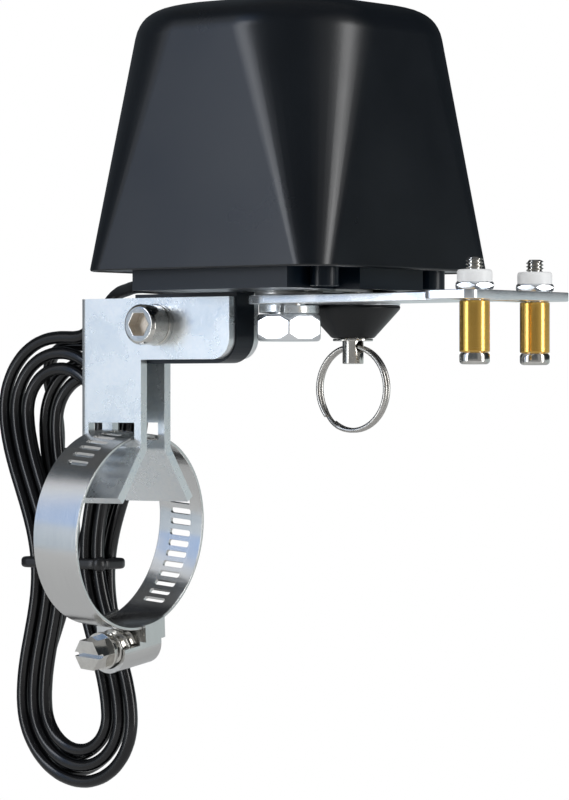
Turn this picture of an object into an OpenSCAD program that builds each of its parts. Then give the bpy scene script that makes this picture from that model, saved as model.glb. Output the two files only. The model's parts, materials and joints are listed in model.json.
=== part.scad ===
// Clamp-on motor drive that turns the lever of a hand valve.
// Lengths are in millimetres and angles in degrees.
// The origin is the centre of the pipe; +X runs along the pipe to the arm's tip, +Z is up.

/* [Housing] */
// Width of the cover at its open edge
cover_w = 61.6; // [60:0.2:66]
// Width of the cover just under its shoulder
cover_top_w = 57.2; // [55:0.2:60]
// Height of the cover
cover_h = 55.6; // [54:0.2:64]
// Thickness of the cover's wall
cover_wall = 2.2; // [1.6:0.1:2.6]
// Width of the base block under the cover
base_w = 52.6; // [52:0.1:54]
// Height of the base block below the cover's seat
base_h = 4.2; // [4:0.1:5]

/* [Placing] */
// Distance from the pipe's centre to the output axis
axis_x = 44; // [42:0.5:52]
// Height of the base's underside above the pipe's centre
base_z = 50; // [49:0.5:60]

/* [Arm] */
// Distance from the output axis to the arm's far edge
arm_len = 58.5; // [54:0.5:75]
// Width of the arm
arm_w = 16.8; // [15:0.1:18]
// Thickness of the arm plate
arm_t = 1.8; // [1.4:0.1:2]
// Width of the crosspiece
cross_w = 35; // [34:0.5:46]
// Length of the crosspiece along the arm
cross_l = 12.3; // [11:0.1:14]

/* [Lever pins] */
// Outside diameter of a pin's sleeve
sleeve_d = 6; // [5.6:0.1:7]
// Length of a pin's sleeve
sleeve_len = 10.2; // [8:0.1:16]
// Diameter of a pin's screw
pin_d = 4; // [3.6:0.1:4.2]
// Travel of each pin along the crosspiece's slot
pin_travel = 8.5; // [6:0.1:9]

/* [Clutch plunger] */
// Radius at which the plunger stands from the output axis
plunger_r = 17.65; // [17.2:0.05:17.9]
// Diameter of the plunger's pin
plunger_d = 4.4; // [4:0.1:4.8]
// Outside diameter of the pull ring
ring_d = 18.5; // [16:0.5:26]
// Diameter of the pull ring's wire
ring_wire = 1; // [0.8:0.05:1.05]

/* [Bracket] */
// Thickness of the bracket's sheet
bracket_t = 2; // [1.6:0.1:2.4]
// Thickness of the base's lug between the bracket's plates
lug_t = 5.8; // [5:0.1:6.6]
// Length of the bracket's flared legs
leg_len = 13.3; // [10:0.1:16]
// Outward angle of the bracket's legs
leg_angle = 35; // [25:1:42]

/* [Hose clamp] */
// Inside radius of the band
band_r = 20.3; // [19.5:0.1:21]
// Width of the band
band_w = 12; // [11:0.1:12.6]
// Thickness of the band
band_t = 0.7; // [0.5:0.05:0.9]

/* [Cord] */
// Diameter of the cord
cord_d = 2.8; // [2.6:0.1:2.9]
// Half length of the coil's straight runs
hank_run = 32.7; // [26:0.1:40]

/* [Hidden] */
$fn = 48;
eps = 0.01;
run_gap = 0.05;
free_gap = 0.3;

// heights, from the base's underside
flange_z = base_z + base_h;
flange_h = 2.8;
flange_r = 4.6;
corner_low = 4.5;
corner_top = 20;
boss_h = 9.6;
floor_z = flange_z + flange_h;
cover_z = flange_z - 0.2;
cover_top_z = cover_z + cover_h;
shoulder_h = 7.7;
shoulder_z = cover_top_z - shoulder_h;
draft = (cover_w - cover_top_w) / 2 / (shoulder_z - cover_z);
flange_w = cover_w - 2 * cover_wall - 2 * draft * (floor_z - cover_z) - 0.2;
base_l = axis_x - base_w / 2;

// arm stack below the base
thrust_h = 0.8;
arm_z1 = base_z - thrust_h;
arm_z0 = arm_z1 - arm_t;
spring_washer_h = 2;
bolt_head_z1 = arm_z0 - spring_washer_h;
bolt_head_h = 5.6;
hub_r = arm_w / 2;
bolt_r = 4;
shaft_r = 7;
slot_x = arm_len - cross_l / 2;
slot_reach = pin_travel + 4.5;
pin_1_y = 3.4 - slot_reach + 1.7;
pin_2_y = slot_reach;

// plunger
plunger_angle = 78.6;
plunger_x = plunger_r * cos(plunger_angle);
plunger_y = plunger_r * sin(plunger_angle);
plunger_pin_r = plunger_d / 2;
crank_ear_r = 4.2;
cup_r = 9.9;
cup_tip_r = 4.4;
cup_h = 6.8;
cup_z0 = arm_z0 - cup_h;
cup_bore_r = 4.2;
collar_h = 1;
collar_z1 = arm_z0 - free_gap;
eye_z = cup_z0 - 1.75;
clip_r = 4.2;
ring_r = ring_d / 2 - ring_wire / 2;

// bracket
plate_in = lug_t / 2;
plate_out = plate_in + bracket_t;
bracket_w = 17.4;
bracket_l = bracket_w / 2 + 0.5;
bracket_end = base_l + 14.4;
bracket_top = base_z - 0.8;
bracket_low = base_z - 13.8;
bend_z = 17.4;
clamp_bolt_x = base_l - 5;
clamp_bolt_z = base_z - 6.5;
clamp_lean = 5;
slot_low = sqrt(band_r * band_r - plate_out * plate_out) - band_w / 2 * sin(clamp_lean) - 0.02;
slot_high = band_r + 2.6;

// band and its screw
band_out = band_r + band_t;
band_slot_l = 5.6;
band_slot_w = 1.3;
band_pitch = 2.4;
worm_r = 4;
worm_axis = band_out + worm_r + 0.2;
worm_tilt = 8.5;

// gears
gear_module = 0.8;
gear_teeth = 30;
pinion_teeth = 12;
pressure = 25;
gear_d = gear_module * (gear_teeth + pinion_teeth) / 2;
pinion_angle = 135;
pinion_x = gear_d * cos(pinion_angle);
pinion_y = gear_d * sin(pinion_angle);
gear_z0 = floor_z + 1;
gear_z1 = gear_z0 + 5;
plate_z0 = floor_z + 8;
plate_z1 = plate_z0 + 2;
board_z = plate_z1 + 3;
board_l = 35;
board_w = 18;
board_t = 1.6;
radio_l = 18;
radio_w = 12;
radio_h = 2.8;
plate_l = 37;
plate_w = 44;
plate_post_places = [[-16.5, -17], [15, -17], [-3, 21.5], [15, 21.5]];
motor_r = 10;
gearhead_h = 14;
motor_can_h = 19;

// screws through the base into the cover
post_x = 23;
post_y = 18;

// cord, coil and plug
gland_y = 8;
gland_z = base_z + 1.6;
gland_l = 8;
hank_x = -36;
hank_y = 25;
hank_z = -8.7;
layer_y = cord_d / 2 + 0.45;
hank_step = cord_d + 0.7;
layer_lean = 0.07;
inner_r = 3 * cord_d + 0.15;
waist_in = 6.8;
climb_a = 2.625;
climb_b = 2.875;
loops = 5;
rings_a_loop = 24;
tie_h = 2.4;
tie_t = 1.8;
plug_r = 4.8;
plug_l = 28;
barrel_r = 2.75;
barrel_l = 9.5;
barrel_bore_r = 1.25;
// route of the lead: shares of the way along X, Y and Z
lead_route = [[0.08, 0, 0], [0.2, 0.05, -0.03], [0.35, 0.25, -0.06], [0.5, 0.55, -0.02], [0.65, 0.82, 0.1],
  [0.75, 0.94, 0.4], [0.83, 0.99, 0.75], [0.9, 1, 0.95], [0.95, 1, 1]];
// route of the tail, from the end of the coil to the plug
tail_route = [[-6.4, 0, 0], [-10.8, 0.8, -0.9], [-14.6, 2.4, -3.4], [-17.1, 4.6, -7.2], [-18, 6.8, -11.6],
  [-18, 8.4, -16], [-18, 9, -20], [-18, 9, -23.2]];

zinc = [0.8, 0.83, 0.86];
steel = [0.7, 0.71, 0.72];
dark = [0.05, 0.055, 0.07];

// shared shapes
module at_axis(x = 0, y = 0) {
  translate([axis_x + x, y, 0])
    children();
}

module disc(z0, z1, r) {
  translate([0, 0, z0])
    cylinder(h = z1 - z0, r = r);
}

module pipe(z0, z1, r_out, r_in) {
  difference() {
    disc(z0, z1, r_out);
    disc(z0 - 1, z1 + 1, r_in);
  }
}

module hexagon(z0, z1, flats) {
  translate([0, 0, z0])
    cylinder(h = z1 - z0, r = flats / sqrt(3), $fn = 6);
}

module box(x0, x1, y0, y1, z0, z1) {
  translate([x0, y0, z0])
    cube([x1 - x0, y1 - y0, z1 - z0]);
}

module round_rect(w, d, r) {
  square([w - 2 * r, d], center = true);
  square([w, d - 2 * r], center = true);
  for (i = [-1, 1], j = [-1, 1])
    translate([i * (w / 2 - r), j * (d / 2 - r)])
      circle(r);
}

module round_block(w, d, r, z0, z1) {
  translate([0, 0, z0])
    linear_extrude(z1 - z0)
      round_rect(w, d, r);
}

module four_posts() {
  for (i = [-1, 1], j = [-1, 1])
    at_axis(i * post_x, j * post_y)
      children();
}

module plate_posts() {
  for (p = plate_post_places)
    at_axis(p[0], p[1])
      children();
}

module board_bosses() {
  for (x = [-12, 11], y = [-13.5, -3])
    at_axis(x, y)
      children();
}

// one level of the cover: four corner discs, hulled by the caller
module cover_level(z, w, r) {
  for (i = [-1, 1], j = [-1, 1])
    translate([i * (w / 2 - r), j * (w / 2 - r), z])
      cylinder(h = eps, r = r, $fn = 32);
}

// the cover's outside, drawn in by an even amount
module cover_form(inset, z0) {
  corner = corner_top - inset;
  slope = draft * (cover_z - z0);
  hull() {
    cover_level(z0, cover_w + 2 * slope - 2 * inset, corner_low - inset);
    for (s = [[0, 0], [2.5, 0.9], [4.1, 2.1], [5, 3.3], [5.9, 5.2], [6.6, 8], [7.2, 12], [7.7 - eps, 19]])
      cover_level(shoulder_z - inset + s[0], cover_top_w - 2 * inset - 2 * s[1],
        max(corner - s[1], (cover_top_w / 2 - inset - s[1]) * 0.6));
  }
}

// housing
module base() {
  notch_x = base_w / 2 - 6.3;
  notch_y = 10.7;
  color(dark)
    difference() {
      union() {
        difference() {
          at_axis()
            round_block(base_w, base_w, 4.8, base_z, flange_z);
          for (i = [-1, 1], j = [-1, 1])
            at_axis()
              scale([i, j, 1])
                box(notch_x, base_w, notch_y, base_w, base_z - 1, flange_z);
        }
        four_posts()
          disc(base_z + 0.4, flange_z, 2.9);
        at_axis()
          round_block(flange_w, flange_w, flange_r, flange_z, floor_z);
        plate_posts()
          disc(floor_z, plate_z0, 2.4);
        base_lug();
      }
      four_posts() {
        disc(base_z, base_z + 2.4, 2.3);
        disc(base_z, floor_z + 1, 1.2);
      }
      plate_posts()
        disc(plate_z0 - 6, plate_z0 + 1, 0.95);
      at_axis() {
        disc(base_z - 1, base_z + 3.3, 10.2);
        disc(base_z, floor_z + 1, 9.5);
        rotate([0, 0, plunger_angle - 116])
          translate([0, 0, base_z - 1])
            rotate_extrude(angle = 142)
              square([plunger_r + crank_ear_r + 0.4, 4.3]);
      }
      translate([base_l - 1, gland_y, gland_z])
        rotate([0, 90, 0])
          cylinder(h = 4.4, r = 1.4);
      translate([base_l - 1, -5.6, base_z + 2.1])
        rotate([0, 90, 0])
          cylinder(h = 4.4, r = 1.56);
      translate([base_l - 1, -8.8, base_z + 2.1])
        rotate([0, 90, 0])
          cylinder(h = 3.4, r = 0.8);
    }
}

module base_lug() {
  x0 = clamp_bolt_x - 7.7;
  x1 = base_l + 14.8;
  z0 = base_z - 14.6;
  r = 5.5;
  difference() {
    translate([0, plate_in, 0])
      rotate([90, 0, 0])
        linear_extrude(lug_t) {
          translate([x0, z0 + r])
            square([x1 - x0, base_z + 0.5 - z0 - r]);
          translate([x0, z0])
            square([x1 - r - x0, r]);
          translate([x1 - r, z0 + r])
            circle(r);
        }
    box(x0 - 1, base_l, -lug_t, lug_t, base_z, base_z + 2);
    translate([clamp_bolt_x, 0, clamp_bolt_z])
      rotate([90, 0, 0])
        cylinder(h = 2 * lug_t, r = 2.6, center = true);
  }
}

module cover() {
  color(dark)
    difference() {
      union() {
        difference() {
          at_axis()
            cover_form(0, cover_z);
          at_axis()
            cover_form(cover_wall, cover_z - 1);
        }
        intersection() {
          at_axis()
            cover_form(cover_wall / 2, cover_z);
          union() {
            four_posts()
              disc(floor_z, floor_z + boss_h, 3.2);
            for (i = [-1, 1], j = [-1, 1])
              at_axis()
                scale([i, j, 1])
                  box(post_x, cover_w / 2, post_y - 0.7, post_y + 0.7, floor_z, floor_z + boss_h);
          }
        }
      }
      four_posts()
        disc(floor_z - 1, floor_z + boss_h - 1.2, 1.12);
    }
}

module cover_screws() {
  color(steel)
    four_posts()
      difference() {
        union() {
          disc(base_z + 0.8, base_z + 2.4, 2.1);
          disc(base_z + 2, floor_z + 7, 1.1);
        }
        box(-1.6, 1.6, -0.25, 0.25, base_z, base_z + 1.5);
        box(-0.25, 0.25, -1.6, 1.6, base_z, base_z + 1.5);
      }
}

module shaft_bush() {
  color([0.72, 0.55, 0.28])
    at_axis()
      difference() {
        union() {
          disc(base_z + 3.3, floor_z, 9.48);
          disc(floor_z, floor_z + 0.7, 11);
        }
        disc(base_z, gear_z0, shaft_r + run_gap);
      }
}

module gear_plate() {
  color(steel)
    difference() {
      union() {
        box(axis_x - plate_l / 2, axis_x + plate_l / 2, -20, plate_w - 20, plate_z0, plate_z1);
        board_bosses()
          disc(plate_z1, board_z, 1.8);
      }
      plate_posts()
        disc(plate_z0 - 1, board_z, 1.2);
      at_axis()
        disc(plate_z0 - 1, board_z, shaft_r + 0.6);
      at_axis(pinion_x, pinion_y)
        disc(plate_z0 - 1, board_z, 2.4);
    }
}

module gear_plate_screws() {
  color(steel)
    plate_posts() {
      disc(plate_z1, plate_z1 + 1.5, 1.9);
      disc(plate_z0 - 5, plate_z1 + eps, 0.9);
    }
}

module gearmotor() {
  can_z = plate_z1 + gearhead_h;
  can_top = min(can_z + motor_can_h, shoulder_z - 2);
  color([0.6, 0.6, 0.58])
    at_axis(pinion_x, pinion_y)
      difference() {
        union() {
          disc(plate_z1, can_z, motor_r);
          disc(can_z, can_top, motor_r - 0.4);
          disc(can_top - eps, can_top + 1.4, 3);
        }
        disc(plate_z1 - 1, plate_z1 + 8, 1.5 + run_gap);
      }
}

module circuit_board() {
  color([0.05, 0.3, 0.15])
    difference() {
      box(axis_x - board_l / 2, axis_x + board_l / 2, -18.5, board_w - 18.5, board_z, board_z + board_t);
      board_bosses()
        disc(board_z - 1, board_z + 2 * board_t, 0.8);
    }
}

module radio_module() {
  color([0.75, 0.76, 0.78])
    box(axis_x - radio_l / 2, axis_x + radio_l / 2, -16, radio_w - 16,
      board_z + board_t, board_z + board_t + radio_h);
}

// a small switch whose lever looks toward the output axis
module limit_switch() {
  box(14.6, 20.4, -5, 5, floor_z, gear_z1 + 1.2);
  box(11, 14.6 + eps, -0.9, 0.9, gear_z1 + 0.4, gear_z1 + 1.2);
}

module switch_open() {
  color(dark)
    at_axis()
      limit_switch();
}

module switch_closed() {
  color(dark)
    at_axis()
      rotate([0, 0, -90])
        limit_switch();
}

module light_pipe() {
  color([0.85, 0.9, 0.95])
    translate([base_l, -8.8, base_z + 2.1])
      rotate([0, 90, 0])
        disc(-0.2, 2.4, 0.79);
}

module push_button() {
  color([0.2, 0.2, 0.22])
    translate([base_l, -5.6, base_z + 2.1])
      rotate([0, 90, 0])
        disc(-0.9, 2.5, 1.5);
}

// gears
function inv(a) = tan(a) - a * PI / 180;

function flank(r, pitch_r, half) =
  let (base_r = pitch_r * cos(pressure), a = acos(min(1, base_r / r)))
    half + (inv(pressure) - inv(a)) * 180 / PI;

module gear_outline(teeth, turn) {
  pitch_r = gear_module * teeth / 2;
  root = pitch_r - 1.25 * gear_module;
  tip = pitch_r + gear_module;
  half = (PI * gear_module / 2 - 0.1) / 2 / pitch_r * 180 / PI;
  radii = [for (i = [0:4]) root + (tip - root) * i / 4];
  polygon([for (k = [0:teeth - 1], s = [-1, 1], i = [0:4])
    let (r = s < 0 ? radii[i] : radii[4 - i], a = turn + k * 360 / teeth + s * flank(r, pitch_r, half))
      [r * cos(a), r * sin(a)]]);
}

module output_gear() {
  color([0.85, 0.83, 0.75])
    at_axis()
      difference() {
        union() {
          translate([0, 0, gear_z0])
            linear_extrude(gear_z1 - gear_z0)
              gear_outline(gear_teeth, 3);
          disc(gear_z1, gear_z1 + 1.5, 8.6);
          box(0, 10.6, -1.6, 1.6, gear_z1, gear_z1 + 1.5);
        }
        disc(gear_z0 - 1, gear_z1 + 2, shaft_r + 0.02);
      }
}

module drive_pinion() {
  color([0.75, 0.7, 0.55])
    at_axis(pinion_x, pinion_y) {
      translate([0, 0, gear_z0 + 0.2])
        linear_extrude(gear_z1 - gear_z0 - 0.4)
          gear_outline(pinion_teeth, 0);
      disc(floor_z + 0.4, plate_z1 + 7, 1.5);
    }
}

module output_shaft() {
  color(steel)
    at_axis()
      difference() {
        disc(base_z, plate_z1, shaft_r);
        disc(base_z - 1, floor_z + 6, bolt_r + run_gap);
      }
}

module drive_crank() {
  color(zinc)
    at_axis()
      translate([0, 0, base_z + 0.2])
        linear_extrude(2.8)
          difference() {
            union() {
              circle(9.6);
              rotate(plunger_angle)
                translate([0, -crank_ear_r])
                  square([plunger_r, 2 * crank_ear_r]);
              translate([plunger_x, plunger_y])
                circle(crank_ear_r);
            }
            circle(shaft_r + 0.02);
            translate([plunger_x, plunger_y])
              circle(plunger_pin_r + 0.1);
          }
}

// arm and its fastening
module thrust_washer() {
  color(steel)
    at_axis()
      pipe(arm_z1, base_z, shaft_r, bolt_r + run_gap);
}

module arm_plate() {
  cross_x = arm_len - cross_l;
  color(zinc)
    at_axis()
      translate([0, 0, arm_z0])
        linear_extrude(arm_t)
          difference() {
            union() {
              circle(hub_r);
              translate([0, -hub_r])
                square([cross_x + 1, arm_w]);
              translate([cross_x + cross_l / 2, 0])
                round_rect(cross_l, cross_w, 2.3);
              rotate(plunger_angle)
                translate([0, -hub_r])
                  square([plunger_r, arm_w]);
              translate([plunger_x, plunger_y])
                circle(cup_r);
            }
            circle(bolt_r + run_gap);
            translate([plunger_x, plunger_y])
              circle(plunger_pin_r + 0.1);
            translate([slot_x - pin_d / 2 - 0.1, -slot_reach])
              square([pin_d + 0.2, 2 * slot_reach]);
            for (j = [-1, 1])
              translate([slot_x, j * slot_reach])
                circle(pin_d / 2 + 0.1);
          }
}

module spring_washer() {
  color(steel)
    at_axis()
      pipe(bolt_head_z1, arm_z0, 6.2, bolt_r + run_gap);
}

module pivot_bolt() {
  z0 = bolt_head_z1 - bolt_head_h;
  color(zinc)
    at_axis() {
      rotate([0, 0, 8])
        intersection() {
          hexagon(z0, bolt_head_z1, 13);
          union() {
            translate([0, 0, z0])
              cylinder(h = 1.2, r1 = 6.3, r2 = 8);
            disc(z0 + 1.2, bolt_head_z1, 8);
          }
        }
      disc(bolt_head_z1 - eps, floor_z + 5, bolt_r);
    }
}

// clutch plunger
module plunger_housing() {
  color(zinc)
    at_axis(plunger_x, plunger_y)
      rotate_extrude()
        polygon([[plunger_pin_r + 0.1, cup_z0], [cup_tip_r, cup_z0], [cup_r, arm_z0 - 0.7],
          [cup_r, arm_z0], [cup_bore_r, arm_z0], [cup_bore_r, cup_z0 + 1.4],
          [plunger_pin_r + 0.1, cup_z0 + 1.4]]);
}

module plunger_spring() {
  color(steel)
    at_axis(plunger_x, plunger_y)
      pipe(cup_z0 + 1.4, collar_z1 - collar_h, 3.9, plunger_pin_r + 0.4);
}

module plunger_pin() {
  color(steel)
    at_axis(plunger_x, plunger_y)
      difference() {
        union() {
          disc(eye_z - 3.6, base_z + 2.2, plunger_pin_r);
          disc(collar_z1 - collar_h, collar_z1, 3.9);
        }
        translate([0, 0, eye_z])
          rotate([0, 90, 0])
            cylinder(h = 3 * plunger_d, r = ring_wire + 0.25, center = true);
      }
}

module plunger_clip() {
  color(steel)
    at_axis(plunger_x, plunger_y)
      pipe(cup_z0 - 0.6, cup_z0 - 0.1, clip_r, plunger_pin_r);
}

module pull_ring() {
  color(steel)
    at_axis(plunger_x, plunger_y)
      translate([0, 0, eye_z - ring_r])
        rotate([90, 0, 0])
          rotate_extrude($fn = 64)
            for (s = [-1, 1])
              translate([ring_r, s * ring_wire * 0.48])
                circle(ring_wire / 2, $fn = 24);
}

// lever pins
module lever_screw(y) {
  z0 = arm_z0 - 0.1 - sleeve_len;
  color(steel)
    at_axis(slot_x, y)
      difference() {
        union() {
          translate([0, 0, z0 - 2.4])
            cylinder(h = 0.5, r1 = sleeve_d / 2 - 0.45, r2 = sleeve_d / 2);
          disc(z0 - 1.9, z0 - 0.1, sleeve_d / 2);
          disc(z0 - 0.2, arm_z1 + 6.6, pin_d / 2);
        }
        hexagon(z0 - 3, z0 - 1, 2.5);
      }
}

module lever_sleeve(y) {
  color([0.78, 0.58, 0.2])
    at_axis(slot_x, y)
      pipe(arm_z0 - 0.1 - sleeve_len, arm_z0 - 0.1, sleeve_d / 2, pin_d / 2 + 0.08);
}

module lever_nut(y) {
  color(zinc)
    at_axis(slot_x, y)
      difference() {
        union() {
          disc(arm_z1 + 0.1, arm_z1 + 1.5, pin_d / 2 + 2.1);
          hexagon(arm_z1 + 1.5 - eps, arm_z1 + 3, pin_d + 3);
          disc(arm_z1 + 3 - eps, arm_z1 + 3.8, pin_d / 2 + 1.2);
        }
        disc(arm_z1 - 1, arm_z1 + 5, pin_d / 2);
      }
}

module lever_screw_1() {
  lever_screw(pin_1_y);
}

module lever_sleeve_1() {
  lever_sleeve(pin_1_y);
}

module lever_nut_1() {
  lever_nut(pin_1_y);
}

module lever_screw_2() {
  lever_screw(pin_2_y);
}

module lever_sleeve_2() {
  lever_sleeve(pin_2_y);
}

module lever_nut_2() {
  lever_nut(pin_2_y);
}

// bracket
module bracket_side() {
  r = 4.5;
  translate([-bracket_l, bracket_low + r])
    square([bracket_end + bracket_l, bracket_top - bracket_low - r]);
  translate([-bracket_l, bracket_low])
    square([bracket_end - r + bracket_l, r + 1]);
  translate([bracket_end - r, bracket_low + r])
    circle(r);
  translate([-bracket_l, bend_z + 0.6])
    square([bracket_w, bracket_top - bend_z - 0.6]);
}

module bracket_plan() {
  r = bracket_t;
  difference() {
    union() {
      translate([-bracket_l + r, -plate_out])
        square([bracket_end + bracket_l, 2 * plate_out]);
      translate([-bracket_l, -plate_in])
        square([r + 1, 2 * plate_in]);
      for (j = [-1, 1])
        translate([-bracket_l + r, j * plate_in])
          circle(r);
    }
    translate([-bracket_l + r, -plate_in])
      square([bracket_end + 2 * bracket_l, 2 * plate_in]);
  }
}

// one flared leg, mitred at its bend
module bracket_leg() {
  mid = plate_in + bracket_t / 2;
  half = bracket_t / 2;
  along = [sin(leg_angle), -cos(leg_angle)];
  side = [cos(leg_angle), sin(leg_angle)];
  mitre = [1, sin(leg_angle) / (1 + cos(leg_angle))];
  bend = [mid, bend_z];
  tip = bend + leg_len * along;
  translate([-bracket_l, 0, 0])
    rotate([90, 0, 90])
      linear_extrude(bracket_w)
        polygon([[plate_out, bend_z + 0.7], bend + half * mitre, tip + half * side, tip - half * side,
          bend - half * mitre, [plate_in, bend_z + 0.7]]);
}

module bracket() {
  color(zinc)
    difference() {
      union() {
        intersection() {
          translate([0, 0, bend_z])
            linear_extrude(bracket_top)
              bracket_plan();
          translate([0, 2 * plate_out, 0])
            rotate([90, 0, 0])
              linear_extrude(4 * plate_out)
                bracket_side();
        }
        bracket_leg();
        mirror([0, 1, 0])
          bracket_leg();
      }
      box(-2 * bracket_l, bracket_l, -plate_in, plate_in, bend_z - 2, slot_high + 0.4);
      box(-band_w / 2 - 0.4, band_w / 2 + 0.4, -2 * plate_out, 2 * plate_out, slot_low, slot_high);
      translate([clamp_bolt_x, 0, clamp_bolt_z])
        rotate([90, 0, 0])
          cylinder(h = 4 * plate_out, r = 2.65, center = true);
    }
}

module along_bolt() {
  translate([clamp_bolt_x, 0, clamp_bolt_z])
    rotate([90, 0, 0])
      children();
}

module bracket_bolt() {
  head = plate_out + 1.2;
  color(steel)
    along_bolt()
      difference() {
        union() {
          disc(head, head + 4.4, 4.25);
          translate([0, 0, head + 4.4 - eps])
            cylinder(h = 0.6, r1 = 4.25, r2 = 3.7);
          disc(-plate_out - 5.6, head + eps, 2.5);
        }
        hexagon(head + 2.4, head + 6, 4.6);
      }
}

module bracket_washer() {
  color(steel)
    along_bolt()
      pipe(plate_out, plate_out + 1.2, 4.4, 2.55);
}

module bracket_nut() {
  color(zinc)
    along_bolt()
      difference() {
        hexagon(-plate_out - 4, -plate_out, 8);
        disc(-plate_out - 6, 0, 2.5);
      }
}

// hose clamp: it hangs loose, so it leans a little in the bracket's slots
module leaning() {
  translate([0, 0, band_r])
    rotate([0, clamp_lean, 0])
      translate([0, 0, -band_r])
        children();
}

module clamp_band() {
  step = band_pitch / (band_r + band_t / 2) * 180 / PI;
  color(steel)
    leaning()
      difference() {
        rotate([0, 90, 0])
          difference() {
            cylinder(h = band_w, r = band_out, center = true, $fn = 96);
            cylinder(h = band_w + 2, r = band_r, center = true, $fn = 96);
          }
        for (a = [-50:step:140])
          rotate([a, 0, 0])
            translate([0, band_r + band_t / 2, 0])
              cube([band_slot_l, 4 * band_t, band_slot_w], center = true);
      }
}

module along_worm() {
  rotate([worm_tilt, 0, 0])
    translate([0, 0, -worm_axis])
      rotate([90, 0, 0])
        children();
}

// a barrel round the worm, open at the head's end, and a saddle that holds the band
module clamp_housing() {
  wide = band_w / 2;
  saddle_y = -0.6;
  barrel_wall = 1.2;
  color(steel)
    leaning()
      difference() {
        union() {
          along_worm()
            disc(-6.5, 5.6, worm_r + barrel_wall);
          rotate([worm_tilt, 0, 0]) {
            box(-wide - 0.9, wide + 0.9, saddle_y, 5.8, -worm_axis + 1.4, -band_r + 1);
            box(-worm_r - barrel_wall, worm_r + barrel_wall, saddle_y, 6.5, -worm_axis, -band_r + 1);
          }
        }
        rotate([0, 90, 0]) {
          cylinder(h = band_w + 0.2, r = band_out + 0.02, center = true, $fn = 96);
          cylinder(h = 4 * band_w, r = band_r - 0.3, center = true, $fn = 96);
        }
        along_worm()
          disc(-8, 8, worm_r + 0.25);
        rotate([worm_tilt, 0, 0])
          box(-2 * worm_r, 2 * worm_r, -8, saddle_y, -worm_axis + 0.5, 0);
      }
}

module clamp_screw() {
  core = worm_r - 0.9;
  rise = 2.4;
  color(zinc)
    leaning()
      along_worm()
        difference() {
          union() {
            rotate_extrude()
              polygon(concat([[0, -7.2], [worm_r - 0.2, -7.2], [worm_r - 0.2, -6.2], [core, -6.2]],
                [for (k = [0:4], p = [[core, 0.3], [worm_r, 0.9], [worm_r, 1.4], [core, 2]])
                  [p[0], -5.9 + k * rise + p[1]]],
                [[core, 6.4], [4.7, 6.4], [4.7, 7.5], [0, 7.5]]));
            hexagon(7.5 - eps, 12, 7.2);
          }
          box(-5, 5, -0.5, 0.5, 10.6, 13);
        }
}

// cord: a tube through a list of points, closed at both ends
function unit(v) = v / norm(v);

function heading(p, i) =
  let (n = len(p) - 1)
    i == 0 ? unit(p[1] - p[0]) : i == n ? unit(p[n] - p[n - 1]) : unit(p[i + 1] - p[i - 1]);

module tube(points, r, sides) {
  n = len(points);
  rings = [for (i = [0:n - 1])
    let (t = heading(points, i), u = unit([0, 1, 0] - t[1] * t), v = cross(t, u))
      for (k = [0:sides - 1])
        points[i] + r * cos(360 * k / sides) * u + r * sin(360 * k / sides) * v];
  skin = [for (i = [0:n - 2], k = [0:sides - 1])
    let (a = i * sides + k, b = i * sides + (k + 1) % sides)
      [a, a + sides, b + sides, b]];
  first = [for (k = [0:sides - 1]) k];
  last = [for (k = [sides - 1:-1:0]) (n - 1) * sides + k];
  polyhedron(points = rings, faces = concat(skin, [first], [last]), convexity = 10);
}

// coil: half width at a place t, counted in loops; the climb to the back layer keeps one width
function coil_r(t) =
  t < climb_a ? inner_r + hank_step * (climb_a - t)
    : t < climb_b ? inner_r
      : inner_r + hank_step * (t - climb_b);

function coil_y(t) =
  t < climb_a ? -layer_y
    : t > climb_b ? layer_y
      : -layer_y * cos(180 * (t - climb_a) / (climb_b - climb_a));

function waist(z) = waist_in * (1 + cos(180 * z / hank_run)) / 2;

function coil_xz(f, r) =
  f < 0.125 ? [-r * sin(720 * f), hank_run + r * cos(720 * f)]
    : f < 0.375
      ? let (z = hank_run * (1 - 8 * (f - 0.125))) [waist(z) - r, z]
      : f < 0.625 ? [-r * cos(720 * (f - 0.375)), -hank_run - r * sin(720 * (f - 0.375))]
        : f < 0.875
          ? let (z = hank_run * (8 * (f - 0.625) - 1)) [r - waist(z), z]
          : [r * cos(720 * (f - 0.875)), hank_run + r * sin(720 * (f - 0.875))];

// the two layers lean across each other
function coil_point(t) =
  let (p = coil_xz(t - floor(t), coil_r(t)), y = coil_y(t))
    [hank_x + p[0] + layer_lean * p[1] * y / layer_y, hank_y + y, hank_z + p[1]];

coil_start = coil_point(0);
coil_end = coil_point(loops);
coil_path = concat([coil_start + [cord_d, 0, 0]],
  [for (i = [0:loops * rings_a_loop]) coil_point(i / rings_a_loop)],
  [coil_end - [cord_d, 0, 0]]);

// least clear space between two places at least half a loop apart
coil_gap = min([for (i = [0:2:len(coil_path) - 14], j = [i + 12:len(coil_path) - 1])
  norm(coil_path[i] - coil_path[j])]) - cord_d;
echo(coil_gap = coil_gap);

gland_end = [base_l - gland_l, gland_y, gland_z];
lead_end = coil_start + [cord_d, 0, 0];
lead_way = lead_end - gland_end;
lead_path = concat([gland_end],
  [for (p = lead_route) gland_end + [p[0] * lead_way[0], p[1] * lead_way[1], p[2] * lead_way[2]]],
  [lead_end]);

tail_path = concat([coil_end - [cord_d, 0, 0]], [for (p = tail_route) coil_end + p]);
plug_end = tail_path[len(tail_path) - 1];

module cable_gland() {
  color(dark)
    translate([base_l, gland_y, gland_z])
      rotate([0, -90, 0])
        rotate_extrude()
          polygon([[0, -3.2], [1.38, -3.2], [1.38, 0], [2.1, 0], [2.1, 1.6], [1.8, 2], [2.1, 2.4],
            [2.1, 4], [1.8, 4.4], [2, 4.8], [2, 6.2], [1.8, gland_l], [0, gland_l]]);
}

module cord() {
  color(dark)
    tube(lead_path, cord_d / 2, 8);
}

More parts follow.
